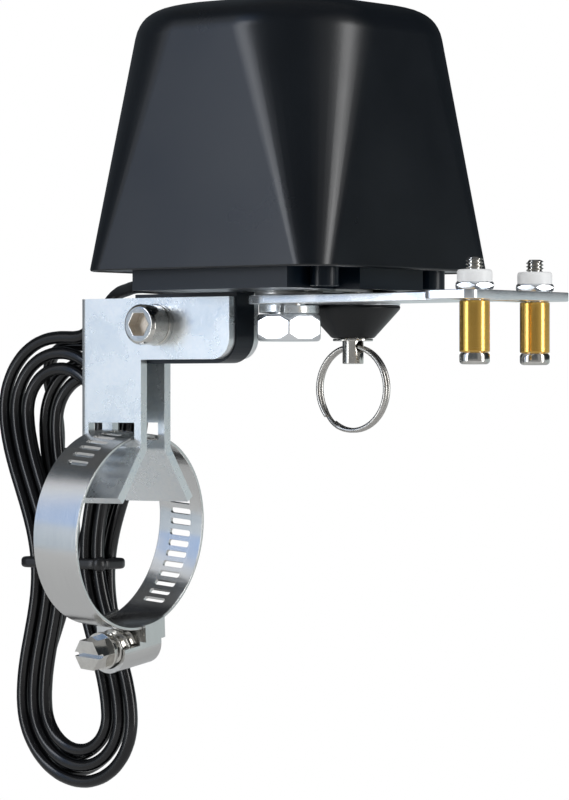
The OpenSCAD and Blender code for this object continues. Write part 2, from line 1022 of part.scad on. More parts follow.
module cord_hank() {
  color(dark)
    tube(coil_path, cord_d / 2, 6);
}

module cord_tie() {
  left = coil_r(0.25) - waist_in + cord_d / 2 + free_gap;
  right = coil_r(0.75) - waist_in + cord_d / 2 + free_gap;
  deep = layer_y + cord_d / 2 + free_gap;
  color(dark)
    translate([hank_x + (right - left) / 2, hank_y, hank_z - tie_h / 2])
      linear_extrude(tie_h)
        difference() {
          round_rect(left + right + 2 * tie_t, 2 * deep + 2 * tie_t, cord_d / 2 + 0.4 + tie_t);
          round_rect(left + right, 2 * deep, cord_d / 2 + 0.4);
        }
}

module cord_tail() {
  color(dark)
    tube(tail_path, cord_d / 2, 8);
}

module cord_plug() {
  color(dark)
    translate(plug_end)
      rotate_extrude()
        polygon([[0, 0], [cord_d / 2 + 0.5, 0], [3.4, -8], [plug_r - 0.2, -9], [plug_r, 2 - plug_l],
          [plug_r - 0.6, -plug_l], [barrel_r, -plug_l], [barrel_r, -plug_l - barrel_l],
          [barrel_bore_r, -plug_l - barrel_l], [barrel_bore_r, -plug_l - 1], [0, -plug_l - 1]]);
}

base();
cover();
cover_screws();
shaft_bush();
gear_plate();
gear_plate_screws();
gearmotor();
circuit_board();
radio_module();
switch_open();
switch_closed();
light_pipe();
push_button();
output_shaft();
output_gear();
drive_crank();
thrust_washer();
arm_plate();
spring_washer();
pivot_bolt();
drive_pinion();
plunger_housing();
plunger_spring();
plunger_pin();
plunger_clip();
pull_ring();
lever_screw_1();
lever_sleeve_1();
lever_nut_1();
lever_screw_2();
lever_sleeve_2();
lever_nut_2();
bracket();
bracket_bolt();
bracket_washer();
bracket_nut();
clamp_band();
clamp_housing();
clamp_screw();
cable_gland();
cord();
cord_hank();
cord_tie();
cord_tail();
cord_plug();
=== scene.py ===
# %% [markdown]
# # A clamp-on valve drive
# The solids of the part come in as a fixed frame, in metres. Each piece below is dressed in place:
# a solid whose shape is right keeps its outline and gets soft edges and a finish, and a piece with
# detail that the solid lacks is modelled again and stands for it.

# %% Load the frame
import json
import math

import bmesh
import bpy
from mathutils import Matrix, Vector

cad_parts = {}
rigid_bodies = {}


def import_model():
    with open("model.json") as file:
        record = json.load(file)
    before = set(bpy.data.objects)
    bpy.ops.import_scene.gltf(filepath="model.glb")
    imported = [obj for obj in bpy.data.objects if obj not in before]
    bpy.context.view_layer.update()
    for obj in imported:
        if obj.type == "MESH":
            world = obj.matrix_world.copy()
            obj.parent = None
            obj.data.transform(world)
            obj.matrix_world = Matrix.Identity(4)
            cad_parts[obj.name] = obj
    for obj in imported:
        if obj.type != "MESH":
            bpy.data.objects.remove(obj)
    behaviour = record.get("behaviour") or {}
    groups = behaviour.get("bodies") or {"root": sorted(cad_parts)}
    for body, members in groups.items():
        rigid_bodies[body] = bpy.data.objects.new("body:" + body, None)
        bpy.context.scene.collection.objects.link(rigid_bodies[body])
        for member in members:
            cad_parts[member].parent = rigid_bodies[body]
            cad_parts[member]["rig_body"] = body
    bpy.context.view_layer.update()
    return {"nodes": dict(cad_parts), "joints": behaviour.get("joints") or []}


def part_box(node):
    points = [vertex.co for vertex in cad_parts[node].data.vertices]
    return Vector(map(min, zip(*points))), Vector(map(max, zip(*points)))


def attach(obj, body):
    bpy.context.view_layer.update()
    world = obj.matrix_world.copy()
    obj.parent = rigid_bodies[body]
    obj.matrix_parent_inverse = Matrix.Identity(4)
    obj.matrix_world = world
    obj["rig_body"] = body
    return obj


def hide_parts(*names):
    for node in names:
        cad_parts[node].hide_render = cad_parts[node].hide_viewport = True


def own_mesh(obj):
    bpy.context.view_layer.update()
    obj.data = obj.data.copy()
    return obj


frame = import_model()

MM = 0.001
JOINTS = {joint["name"]: joint for joint in frame["joints"]}
scene = bpy.context.scene


def add_object(name, data):
    """Puts a new object in the scene."""
    made = bpy.data.objects.new(name, data)
    scene.collection.objects.link(made)
    return made


# %% [markdown]
# The photograph is a catalogue shot from far away at the height of the clamp, turned 38 degrees
# from the bracket's flat side. The camera is level and its lens is long, so upright lines stay
# upright and no shift is needed.

# %% Camera
PHOTO_W = 569
PHOTO_H = 800
VIEW_TURN = math.radians(38)
VIEW_DISTANCE = 0.8
FOCAL_PIXELS = 3880
EYE_Z = 0.0277
AXIS_PIXEL_X = 289
SENSOR = 36

OUTPUT_AXIS = Vector(JOINTS["arm_turn"]["pos_m"])
to_camera = Vector((math.sin(VIEW_TURN), -math.cos(VIEW_TURN), 0))
to_right = Vector((math.cos(VIEW_TURN), math.sin(VIEW_TURN), 0))
aside = (AXIS_PIXEL_X - PHOTO_W / 2) / FOCAL_PIXELS * VIEW_DISTANCE

camera = add_object("camera", bpy.data.cameras.new("camera"))
camera.data.sensor_width = SENSOR
camera.data.lens = SENSOR * FOCAL_PIXELS / PHOTO_H
eye_level = Vector((OUTPUT_AXIS.x, OUTPUT_AXIS.y, EYE_Z))
camera.location = eye_level + to_camera * VIEW_DISTANCE - to_right * aside
camera.rotation_mode = "QUATERNION"
camera.rotation_quaternion = to_camera.to_track_quat("Z", "Y")
scene.camera = camera
print("lens:", round(camera.data.lens, 1), "mm")

# %% [markdown]
# The cord is one length of round black lead. It leaves the gland, swings out behind the bracket,
# is folded into a long hank of five loops in two layers, and ends in a round power plug that hangs
# behind. The loops follow a rule, so a formula walks them; the free stretches are listed points.
# A curve with a round bevel is the natural tool: it keeps one thickness however it bends. The bevel
# is 1 deep, so the radius of each point is the cord's own radius.

# %% Route of the cord
CORD_D = 2.8 * MM
HANK_CENTRE = Vector((-36, 25, -8.7)) * MM
HANK_RUN = 32.7 * MM
LAYER_Y = CORD_D / 2 + 0.45 * MM
LAYER_LEAN = 0.07
HANK_STEP = CORD_D + 0.7 * MM
INNER_R = 3 * CORD_D + 0.15 * MM
WAIST_IN = 6.8 * MM
CLIMB_START = 2.625
CLIMB_END = 2.875
LOOPS = 5
POINTS_A_LOOP = 48
LEAD_ROUTE = [(0.08, 0, 0), (0.2, 0.05, -0.03), (0.35, 0.25, -0.06), (0.5, 0.55, -0.02), (0.65, 0.82, 0.1),
              (0.75, 0.94, 0.4), (0.83, 0.99, 0.75), (0.9, 1, 0.95), (0.95, 1, 1)]
TAIL_ROUTE = [(-6.4, 0, 0), (-10.8, 0.8, -0.9), (-14.6, 2.4, -3.4), (-17.1, 4.6, -7.2), (-18, 6.8, -11.6),
              (-18, 8.4, -16), (-18, 9, -20), (-18, 9, -23.2)]


def loop_radius(t):
    """Half width of the hank at a place counted in loops."""
    if t < CLIMB_START:
        return INNER_R + HANK_STEP * (CLIMB_START - t)
    return INNER_R + HANK_STEP * max(0, t - CLIMB_END)


def layer_offset(t):
    """Depth of the loop: front layer, a climb along one run, then the back layer."""
    share = min(1, max(0, (t - CLIMB_START) / (CLIMB_END - CLIMB_START)))
    return -LAYER_Y * math.cos(math.pi * share)


def waist(z):
    return WAIST_IN * (1 + math.cos(math.pi * z / HANK_RUN)) / 2


def loop_outline(f, r):
    """Place on one loop: a half round at each end, and two runs drawn in at the waist."""
    turn = 4 * math.pi
    if f < 0.125:
        return -r * math.sin(turn * f), HANK_RUN + r * math.cos(turn * f)
    if f < 0.375:
        z = HANK_RUN * (1 - 8 * (f - 0.125))
        return waist(z) - r, z
    if f < 0.625:
        return -r * math.cos(turn * (f - 0.375)), -HANK_RUN - r * math.sin(turn * (f - 0.375))
    if f < 0.875:
        z = HANK_RUN * (8 * (f - 0.625) - 1)
        return r - waist(z), z
    return r * math.cos(turn * (f - 0.875)), HANK_RUN + r * math.sin(turn * (f - 0.875))


def hank_point(t):
    """Place on the hank; its two layers lean across each other."""
    x, z = loop_outline(t - math.floor(t), loop_radius(t))
    y = layer_offset(t)
    return HANK_CENTRE + Vector((x + LAYER_LEAN * z * y / LAYER_Y, y, z))


gland_low, gland_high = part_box("cable_gland")
gland_end = Vector((gland_low.x, (gland_low.y + gland_high.y) / 2, (gland_low.z + gland_high.z) / 2))
hank_start = hank_point(0)
hank_end = hank_point(LOOPS)
lead_end = hank_start + Vector((CORD_D, 0, 0))
lead_way = lead_end - gland_end
route = [gland_end]
route += [gland_end + Vector((u * lead_way.x, v * lead_way.y, w * lead_way.z)) for u, v, w in LEAD_ROUTE]
route += [lead_end]
route += [hank_point(i / POINTS_A_LOOP) for i in range(LOOPS * POINTS_A_LOOP + 1)]
route += [hank_end + Vector((-CORD_D, 0, 0))]
route += [hank_end + Vector(p) * MM for p in TAIL_ROUTE]
plug_top = route[-1]
print("cord points:", len(route))

# %% Cord as one curve
cord_curve = bpy.data.curves.new("power_cord", "CURVE")
cord_curve.dimensions = "3D"
cord_curve.bevel_depth = 1
cord_curve.bevel_resolution = 6
cord_curve.resolution_u = 3
cord_curve.use_fill_caps = True
spline = cord_curve.splines.new("BEZIER")
spline.bezier_points.add(len(route) - 1)
for bend, place in zip(spline.bezier_points, route):
    bend.co = place
    bend.radius = CORD_D / 2
    bend.handle_left_type = "AUTO"
    bend.handle_right_type = "AUTO"
power_cord = add_object("power_cord", cord_curve)
bpy.context.view_layer.update()
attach(power_cord, "body")
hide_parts("cord", "cord_hank", "cord_tail")

# %% [markdown]
# ## Finishes
# Every finish is built from nodes on Object coordinates, so it keeps its scale in millimetres on
# any piece. Three effects come back in several finishes, so each is a node group made once:
# the fine spark texture of moulded plastic, the uneven haze of plated metal, and the fine lines
# that a lathe or a brush leaves.

# %% Node helpers
def set_inputs(node, values):
    for key, value in values.items():
        node.inputs[key].default_value = value


def add_node(tree, kind, **settings):
    """A node of one kind, with its settings and the values of its unlinked inputs."""
    node = tree.nodes.new(kind)
    set_inputs(node, settings.pop("inputs", {}))
    for key, value in settings.items():
        setattr(node, key, value)
    return node


def join(tree, source, target):
    tree.links.new(source, target)


def join_rows(tree, *rows):
    """Links rows of node, output, node and input."""
    for source, out, target, into in rows:
        join(tree, source.outputs[out], target.inputs[into])


def start_group(name, inputs, outputs):
    """A node group; an input without a value is a vector, and the other sockets are numbers."""
    tree = bpy.data.node_groups.new(name, "ShaderNodeTree")
    for key, value in inputs.items():
        kind = "NodeSocketVector" if value is None else "NodeSocketFloat"
        made = tree.interface.new_socket(name=key, in_out="INPUT", socket_type=kind)
        if value is not None:
            made.default_value = value
    for key in outputs:
        tree.interface.new_socket(name=key, in_out="OUTPUT", socket_type="NodeSocketFloat")
    return tree, tree.nodes.new("NodeGroupInput"), tree.nodes.new("NodeGroupOutput")


print("helpers ready")

# %% Group: spark texture of moulded plastic
grain, grain_in, grain_out = start_group("moulded_grain", {"Vector": None, "Fineness": 2600.0},
                                         ("Height", "Cloud"))
sparks = add_node(grain, "ShaderNodeTexNoise", inputs={"Detail": 3.0, "Roughness": 0.6})
clouds = add_node(grain, "ShaderNodeTexNoise", inputs={"Scale": 38.0, "Detail": 4.0, "Roughness": 0.55})
join_rows(grain, (grain_in, "Vector", sparks, "Vector"), (grain_in, "Fineness", sparks, "Scale"),
          (grain_in, "Vector", clouds, "Vector"), (sparks, "Fac", grain_out, "Height"),
          (clouds, "Fac", grain_out, "Cloud"))
print("group:", grain.name)

# %% Group: haze and speckle of plated metal
haze, haze_in, haze_out = start_group("plated_haze", {"Vector": None, "Patch Size": 90.0},
                                      ("Haze", "Speckle"))
patches = add_node(haze, "ShaderNodeTexNoise", inputs={"Detail": 6.0, "Roughness": 0.62})
crystals = add_node(haze, "ShaderNodeTexVoronoi", inputs={"Scale": 1500.0, "Randomness": 1.0})
to_grey = add_node(haze, "ShaderNodeRGBToBW")
join_rows(haze, (haze_in, "Vector", patches, "Vector"), (haze_in, "Patch Size", patches, "Scale"),
          (haze_in, "Vector", crystals, "Vector"), (crystals, "Color", to_grey, "Color"),
          (patches, "Fac", haze_out, "Haze"), (to_grey, "Val", haze_out, "Speckle"))
print("group:", haze.name)

# %% Group: lines left by a lathe or a brush
lines, lines_in, lines_out = start_group("worked_lines", {"Across": 0.0, "Along": 0.0, "Fineness": 5200.0},
                                         ("Height",))
stretch = add_node(lines, "ShaderNodeMath", operation="MULTIPLY")
laid = add_node(lines, "ShaderNodeCombineXYZ")
strokes = add_node(lines, "ShaderNodeTexNoise", inputs={"Scale": 1.0, "Detail": 3.0, "Roughness": 0.7})
join_rows(lines, (lines_in, "Across", stretch, 0), (lines_in, "Fineness", stretch, 1),
          (stretch, "Value", laid, "X"), (lines_in, "Along", laid, "Y"),
          (laid, "Vector", strokes, "Vector"), (strokes, "Fac", lines_out, "Height"))
print("group:", lines.name)


# %% [markdown]
# A finish function starts from the same bench: a Principled shader, the piece's own coordinates,
# and a helper that places one of the groups. Values that don't change over a surface are set on
# the shader's sockets. Noise seldom leaves the range from 0.3 to 0.7, so that range is spread over
# the limits of a finish.

# %% Bench for one finish
NOISE_LOW = 0.3
NOISE_HIGH = 0.7
GRAIN_DEPTH = 0.04 * MM
METAL_DEPTH = 0.03 * MM
HAIR_DEPTH = 0.02 * MM


def start_finish(name, colour, metallic, roughness):
    """A material with a Principled shader; hands back its tree, shader and Object coordinates."""
    made = bpy.data.materials.new(name)
    made.use_nodes = True
    tree = made.node_tree
    shader = tree.nodes["Principled BSDF"]
    set_inputs(shader, {"Base Color": (*colour, 1), "Metallic": metallic, "Roughness": roughness})
    place = tree.nodes.new("ShaderNodeTexCoord").outputs["Object"]
    made.diffuse_color = (*colour, 1)
    return made, tree, shader, place


def use_group(tree, group, place, values):
    """A node group in a finish, laid out on coordinates where it takes them."""
    node = tree.nodes.new("ShaderNodeGroup")
    node.node_tree = group
    set_inputs(node, values)
    if place is not None:
        join(tree, place, node.inputs["Vector"])
    return node


def parts_of(tree, vector):
    node = tree.nodes.new("ShaderNodeSeparateXYZ")
    join(tree, vector, node.inputs["Vector"])
    return node.outputs


def bump(tree, shader, height, strength, depth):
    """Fine relief under the finish."""
    node = add_node(tree, "ShaderNodeBump", inputs={"Strength": strength, "Distance": depth})
    join(tree, height, node.inputs["Height"])
    join(tree, node.outputs["Normal"], shader.inputs["Normal"])


def roughen(tree, value, rough, shader):
    """Lets noise move the roughness between two limits."""
    node = add_node(tree, "ShaderNodeMapRange", inputs={"From Min": NOISE_LOW, "From Max": NOISE_HIGH,
                                                        "To Min": rough[0], "To Max": rough[1]})
    join(tree, value, node.inputs["Value"])
    join(tree, node.outputs["Result"], shader.inputs["Roughness"])


def tint(tree, value, stops, shader):
    """Colours a finish by a ramp of (place, colour) pairs."""
    node = tree.nodes.new("ShaderNodeValToRGB")
    bar = node.color_ramp.elements
    while len(bar) < len(stops):
        bar.new(0.5)
    for stop, (place, colour) in zip(bar, stops):
        stop.position = place
        stop.color = (*colour, 1)
    join(tree, value, node.inputs["Fac"])
    join(tree, node.outputs["Color"], shader.inputs["Base Color"])


print("bench ready")


# %% Moulded plastics
def moulded_finish(name, dark_tone, light_tone, rough, fineness, relief, shine=0.5):
    """Injection-moulded plastic: spark texture, and a slow drift of tone and gloss."""
    made, tree, shader, place = start_finish(name, dark_tone, 0.0, rough[0])
    shader.inputs["Specular IOR Level"].default_value = shine
    texture = use_group(tree, grain, place, {"Fineness": fineness})
    tint(tree, texture.outputs["Cloud"], [(0.35, dark_tone), (0.68, light_tone)], shader)
    roughen(tree, texture.outputs["Cloud"], rough, shader)
    bump(tree, shader, texture.outputs["Height"], relief, GRAIN_DEPTH)
    return made


SHELL_BLACK = moulded_finish("shell_black", (0.002, 0.0035, 0.006), (0.003, 0.005, 0.008),
                             (0.27, 0.32), 2600, 0.2)
BASE_BLACK = moulded_finish("base_black", (0.002, 0.006, 0.012), (0.003, 0.008, 0.015),
                            (0.3, 0.37), 3000, 0.25, shine=0.32)
CUP_BLACK = moulded_finish("cup_black", (0.002, 0.003, 0.004), (0.004, 0.005, 0.006),
                           (0.34, 0.42), 3000, 0.3, shine=0.35)
TIE_BLACK = moulded_finish("tie_black", (0.008, 0.008, 0.009), (0.014, 0.014, 0.015),
                           (0.3, 0.4), 1800, 0.2)
GEAR_CREAM = moulded_finish("gear_cream", (0.72, 0.69, 0.6), (0.78, 0.76, 0.67), (0.42, 0.5), 2200, 0.15)
NYLON_WHITE = moulded_finish("nylon_white", (0.86, 0.87, 0.87), (0.92, 0.92, 0.92),
                             (0.38, 0.46), 2400, 0.2)
LIGHT_CLEAR = moulded_finish("light_clear", (0.74, 0.8, 0.84), (0.8, 0.86, 0.9), (0.1, 0.16), 900, 0.05)
PLASTICS = (SHELL_BLACK, BASE_BLACK, CUP_BLACK, TIE_BLACK, GEAR_CREAM, NYLON_WHITE, LIGHT_CLEAR)
print("plastics:", [m.name for m in PLASTICS])


# %% Plated metals
SPECKLE_SHARE = 0.22


def plated_finish(name, stops, rough, patch, relief, metal=1.0):
    """Plate: tone drifts in patches, with a crystal speckle; metal under 1 makes it a little matt."""
    made, tree, shader, place = start_finish(name, stops[0][1], metal, rough[0])
    surface = use_group(tree, haze, place, {"Patch Size": patch})
    blend_in = add_node(tree, "ShaderNodeMix", data_type="FLOAT", inputs={"Factor": SPECKLE_SHARE})
    join_rows(tree, (surface, "Haze", blend_in, "A"), (surface, "Speckle", blend_in, "B"))
    tint(tree, blend_in.outputs["Result"], stops, shader)
    roughen(tree, surface.outputs["Haze"], rough, shader)
    bump(tree, shader, surface.outputs["Speckle"], relief, METAL_DEPTH)
    return made


ZINC = plated_finish("zinc_plate", [(0.28, (0.6, 0.68, 0.76)), (0.45, (0.76, 0.8, 0.82)),
                                    (0.7, (0.82, 0.84, 0.84))], (0.22, 0.32), 70, 0.14, metal=0.84)
ZINC_BRIGHT = plated_finish("zinc_bright", [(0.3, (0.72, 0.76, 0.8)), (0.7, (0.88, 0.89, 0.9))],
                            (0.16, 0.26), 160, 0.1, metal=0.9)
NICKEL = plated_finish("nickel_plate", [(0.3, (0.54, 0.53, 0.5)), (0.7, (0.7, 0.68, 0.64))],
                       (0.1, 0.2), 200, 0.06)
RING_NICKEL = plated_finish("ring_nickel", [(0.3, (0.42, 0.41, 0.39)), (0.7, (0.6, 0.58, 0.55))],
                            (0.22, 0.32), 300, 0.03)
PLAIN_STEEL = plated_finish("plain_steel", [(0.3, (0.46, 0.46, 0.46)), (0.7, (0.58, 0.58, 0.57))],
                            (0.28, 0.42), 140, 0.12)
# Painted light: a paler, half-metal plate for the faces inside the bolt's socket, standing for light that
# bounces round inside it.
SOCKET_PAINTED_LIGHT = plated_finish("socket_painted_light", [(0.3, (0.6, 0.53, 0.44)), (0.7, (0.78, 0.73, 0.66))],
                            (0.4, 0.55), 400, 0.2, metal=0.5)
PLATED = (ZINC, ZINC_BRIGHT, NICKEL, RING_NICKEL, PLAIN_STEEL, SOCKET_PAINTED_LIGHT)
print("plated:", [m.name for m in PLATED])


# %% Turned brass
def turned_finish(name, stops, rough, fineness, relief):
    """Bar stock from the lathe: rings across the Z axis."""
    made, tree, shader, place = start_finish(name, stops[0][1], 1.0, rough[0])
    parts = parts_of(tree, place)
    rings = use_group(tree, lines, None, {"Fineness": fineness})
    join(tree, parts["Z"], rings.inputs["Across"])
    tint(tree, rings.outputs["Height"], stops, shader)
    roughen(tree, rings.outputs["Height"], rough, shader)
    bump(tree, shader, rings.outputs["Height"], relief, METAL_DEPTH)
    return made


BRASS = turned_finish("turned_brass", [(0.3, (0.77, 0.44, 0.09)), (0.7, (0.9, 0.57, 0.15))],
                      (0.18, 0.28), 5200, 0.25)
print("turned:", BRASS.name)


# %% Brushed band
CLAMP_LEAN = math.radians(5)
CLAMP_TOP = Matrix.Translation((0, 0, 20.3 * MM))
HAIR_FINENESS = 7000.0
HAIR_STRETCH = 2.5
HAIR_RELIEF = 0.09


def leant(angle):
    """A lean of the clamp about its top."""
    return CLAMP_TOP @ Matrix.Rotation(angle, 4, "Y") @ CLAMP_TOP.inverted()


def brushed_band_finish(name, stops, rough):
    """Rolled stainless strip: hairlines run round the leaning ring, and change quickly across it."""
    made, tree, shader, place = start_finish(name, stops[0][1], 1.0, rough[0])
    upright = leant(-CLAMP_LEAN)
    level = add_node(tree, "ShaderNodeMapping", inputs={"Location": upright.to_translation(),
                                                         "Rotation": upright.to_euler()})
    join(tree, place, level.inputs["Vector"])
    parts = parts_of(tree, level.outputs["Vector"])
    angle = add_node(tree, "ShaderNodeMath", operation="ARCTAN2")
    join(tree, parts["Z"], angle.inputs[0])
    join(tree, parts["Y"], angle.inputs[1])
    longer = add_node(tree, "ShaderNodeMath", operation="MULTIPLY", inputs={1: HAIR_STRETCH})
    join(tree, angle.outputs["Value"], longer.inputs[0])
    hairs = use_group(tree, lines, None, {"Fineness": HAIR_FINENESS})
    join(tree, parts["X"], hairs.inputs["Across"])
    join(tree, longer.outputs["Value"], hairs.inputs["Along"])
    tint(tree, hairs.outputs["Height"], stops, shader)
    roughen(tree, hairs.outputs["Height"], rough, shader)
    bump(tree, shader, hairs.outputs["Height"], HAIR_RELIEF, HAIR_DEPTH)
    return made


STAINLESS = brushed_band_finish("brushed_stainless", [(0.3, (0.63, 0.63, 0.62)), (0.7, (0.71, 0.71, 0.7))],
                                (0.17, 0.23))
print("brushed:", STAINLESS.name)


# %% Cord jacket and circuit board
def cord_finish():
    """Soft black vinyl: glossy, with slow waves in its gloss."""
    made, tree, shader, place = start_finish("cord_vinyl", (0.002, 0.002, 0.003), 0.0, 0.2)
    texture = use_group(tree, grain, place, {"Fineness": 900.0})
    tones = [(0.35, (0.0015, 0.0015, 0.002)), (0.7, (0.004, 0.004, 0.005))]
    tint(tree, texture.outputs["Cloud"], tones, shader)
    roughen(tree, texture.outputs["Cloud"], (0.15, 0.24), shader)
    bump(tree, shader, texture.outputs["Height"], 0.06, GRAIN_DEPTH)
    return made


def board_finish():
    """Green solder mask over a grid of paler copper tracks."""
    made, tree, shader, place = start_finish("board_green", (0.02, 0.16, 0.07), 0.0, 0.3)
    tracks = add_node(tree, "ShaderNodeTexBrick", inputs={
        "Color1": (0.015, 0.13, 0.055, 1), "Color2": (0.02, 0.16, 0.07, 1),
        "Mortar": (0.06, 0.3, 0.13, 1), "Scale": 420.0, "Mortar Size": 0.03})
    join(tree, place, tracks.inputs["Vector"])
    join(tree, tracks.outputs["Color"], shader.inputs["Base Color"])
    return made


CORD_VINYL = cord_finish()
BOARD_GREEN = board_finish()
cord_curve.materials.append(CORD_VINYL)
print("cord and board:", CORD_VINYL.name, BOARD_GREEN.name)


# %% [markdown]
# ## Pieces that keep their solid's shape
# Sheet metal, bolts and moulded blocks already have the right outline, but a solid's edges are
# perfectly sharp and catch no light. A copy of the solid is welded, wide enough to close slivers
# between its facets, its flat faces are made whole, and its sharp edges are rounded with a bevel.
# The bevel stops before it would overlap itself, which leaves the base, the bracket and the clamp's
# housing almost sharp. Weighted normals then keep the flats flat.

# %% Helpers for eased pieces
WELD = 1e-6
SLIVER = 2e-5
FLAT = math.radians(0.2)
CORNER = math.radians(28)
CREASE = math.radians(50)


def merged_copy(node):
    """The node's solid as one welded shape with whole flat faces."""
    shape = bmesh.new()
    shape.from_mesh(frame["nodes"][node].data)
    bmesh.ops.remove_doubles(shape, verts=shape.verts, dist=SLIVER)
    bmesh.ops.dissolve_limit(shape, angle_limit=FLAT, verts=shape.verts, edges=shape.edges)
    return shape


def face_out(shape):
    bmesh.ops.recalc_face_normals(shape, faces=shape.faces)


def only(kind, geom):
    return [g for g in geom if isinstance(g, kind)]


def sharp_edges(shape, least=CORNER):
    return [e for e in shape.edges if len(e.link_faces) == 2 and e.calc_face_angle(0) > least]


def ease(shape, geom, width, segments=2, affect="EDGES", clamp=True):
    """Rounds edges or corners with a bevel."""
    bmesh.ops.bevel(shape, geom=geom, offset=width, offset_type="OFFSET", segments=segments, profile=0.5,
                    affect=affect, clamp_overlap=clamp, material=-1)


def as_mesh(name, shape):
    """Turns a bmesh into a mesh."""
    mesh = bpy.data.meshes.new(name)
    shape.to_mesh(mesh)
    shape.free()
    return mesh


def set_piece(name, shape, body, slot, *finishes):
    """Makes a bmesh a smooth piece that rides on a body."""
    mesh = as_mesh(name, shape)
    mesh.shade_smooth()
    mesh.set_sharp_from_angle(angle=CREASE)
    for finish in finishes:
        mesh.materials.append(finish)
    piece = add_object(name, mesh)
    even = piece.modifiers.new("even_normals", "WEIGHTED_NORMAL")
    even.keep_sharp = True
    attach(piece, body)
    return piece


def eased_piece(name, node, slot, width, *finishes):
    """An eased copy of a node that stands for it."""
    shape = merged_copy(node)
    ease(shape, sharp_edges(shape), width)
    piece = set_piece(name, shape, frame["nodes"][node]["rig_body"], slot, *finishes)
    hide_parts(node)
    return piece


print("edges from", round(math.degrees(CORNER)), "degrees are eased")

# %% [markdown]
# ## Housing
# The cover is a deep moulded shell: a square with wide round corners that draws in a little as it
# rises, then turns over a soft shoulder into a flat top. It is a stack of rounded squares, each a
# plane whose corners are bevelled, joined by bridges and given a wall.

# %% Cover
COVER_W = 61.6 * MM
COVER_TOP_W = 57.2 * MM
COVER_R = 6 * MM
COVER_TOP_R = 21 * MM
COVER_WALL = 2.2 * MM
SHOULDER_H = 7.7 * MM
CORNER_STEPS = 14
LEAST_ROUND = 0.3
RIM = [(0, 0.45), (0.13, 0.14), (0.45, 0)]
SHOULDER = [(0, 0), (1.3, 0.35), (2.5, 0.9), (3.35, 1.45), (4.1, 2.1), (4.6, 2.7), (5, 3.3), (5.5, 4.25),
            (5.9, 5.2), (6.3, 6.6), (6.6, 8), (6.95, 10), (7.2, 12), (7.5, 15.5), (7.7, 19)]
cover_low, cover_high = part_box("cover")


def rounded_square(shape, width, radius, z):
    """A face with round corners, centred on the output axis."""
    made = bmesh.ops.create_grid(shape, x_segments=1, y_segments=1, size=width / 2,
                                 matrix=Matrix.Translation((OUTPUT_AXIS.x, OUTPUT_AXIS.y, z)))
    ease(shape, made["verts"], radius, CORNER_STEPS, "VERTICES", False)
    shape.faces.ensure_lookup_table()
    return shape.faces[-1]


def cover_levels():
    """Width, corner radius and height of each ring, from the rim to the top."""
    foot, shoulder = cover_low.z, cover_high.z - SHOULDER_H
    for rise, inset in RIM:
        yield COVER_W - 2 * inset * MM, COVER_R - inset * MM, foot + rise * MM
    for rise, inset in SHOULDER:
        width = COVER_TOP_W - 2 * inset * MM
        yield width, max(COVER_TOP_R - inset * MM, width * LEAST_ROUND), shoulder + rise * MM


shell = bmesh.new()
rings = [list(rounded_square(shell, *level).edges) for level in cover_levels()]
bmesh.ops.delete(shell, geom=list(shell.faces)[:-1], context="FACES_ONLY")
for lower, upper in zip(rings, rings[1:]):
    bmesh.ops.bridge_loops(shell, edges=lower + upper)
face_out(shell)
cover = set_piece("cover_shell", shell, "body", "housing", SHELL_BLACK)
wall = cover.modifiers.new("wall", "SOLIDIFY")
wall.thickness = COVER_WALL
wall.offset = -1
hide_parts("cover")
print("cover faces:", len(cover.data.polygons))

# %% [markdown]
# Some flat walls of the base meet at a blunt angle, so its creases start at a smaller angle than
# those of the other pieces.

# %% Base, button and status light
BASE_CREASE = math.radians(20)
base = eased_piece("base_block", "base", "housing", 0.35 * MM, BASE_BLACK)
base.data.set_sharp_from_angle(angle=BASE_CREASE)
button = eased_piece("side_button", "push_button", "housing", 0.25 * MM, CUP_BLACK)
light = eased_piece("status_light", "light_pipe", "light", 0.15 * MM, LIGHT_CLEAR)
print("base:", [o.name for o in (base, button, light)])

# %% [markdown]
# ## Bracket and hose clamp
# The bracket is one folded strip of zinc-plated sheet, with a wider bevel set on its folds than on
# its cut edges. The clamp's band is thin rolled strip, punched with a row of slots whose ends are
# round: the corners of each slot are bevelled along the strip's thickness. Faces that lie inside the
# bolt's socket get a finish of their own. It is rougher than the head, and its paler, less metallic colour is
# painted light for the light that bounces round inside the socket.

# %% Bracket
FOLD_LEAST = math.radians(20)
FOLD_MOST = math.radians(50)


def is_fold(edge):
    """A bend of the sheet: a blunt edge along X."""
    way = (edge.verts[0].co - edge.verts[1].co).normalized()
    return edge.calc_face_angle(0) < FOLD_MOST and abs(way.x) > 0.99


sheet_shape = merged_copy("bracket")
along_x = [e for e in sharp_edges(sheet_shape, FOLD_LEAST) if is_fold(e)]
ease(sheet_shape, along_x, 0.9 * MM, 4)
ease(sheet_shape, sharp_edges(sheet_shape, FOLD_MOST), 0.3 * MM)
bracket = set_piece("bracket_sheet", sheet_shape, "body", "zinc", ZINC)
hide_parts("bracket")
print("bracket folds:", len(along_x))

# %% Bolt through the bracket
SOCKET_R = 2.62 * MM
SOCKET_DEPTH = 3 * MM
SOCKET_LIP = 0.1 * MM
bolt_front, bolt_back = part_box("bracket_bolt")
bolt_axis = Vector(((bolt_front.x + bolt_back.x) / 2, 0, (bolt_front.z + bolt_back.z) / 2))
bolt_shape = merged_copy("bracket_bolt")
ease(bolt_shape, sharp_edges(bolt_shape), 0.25 * MM)
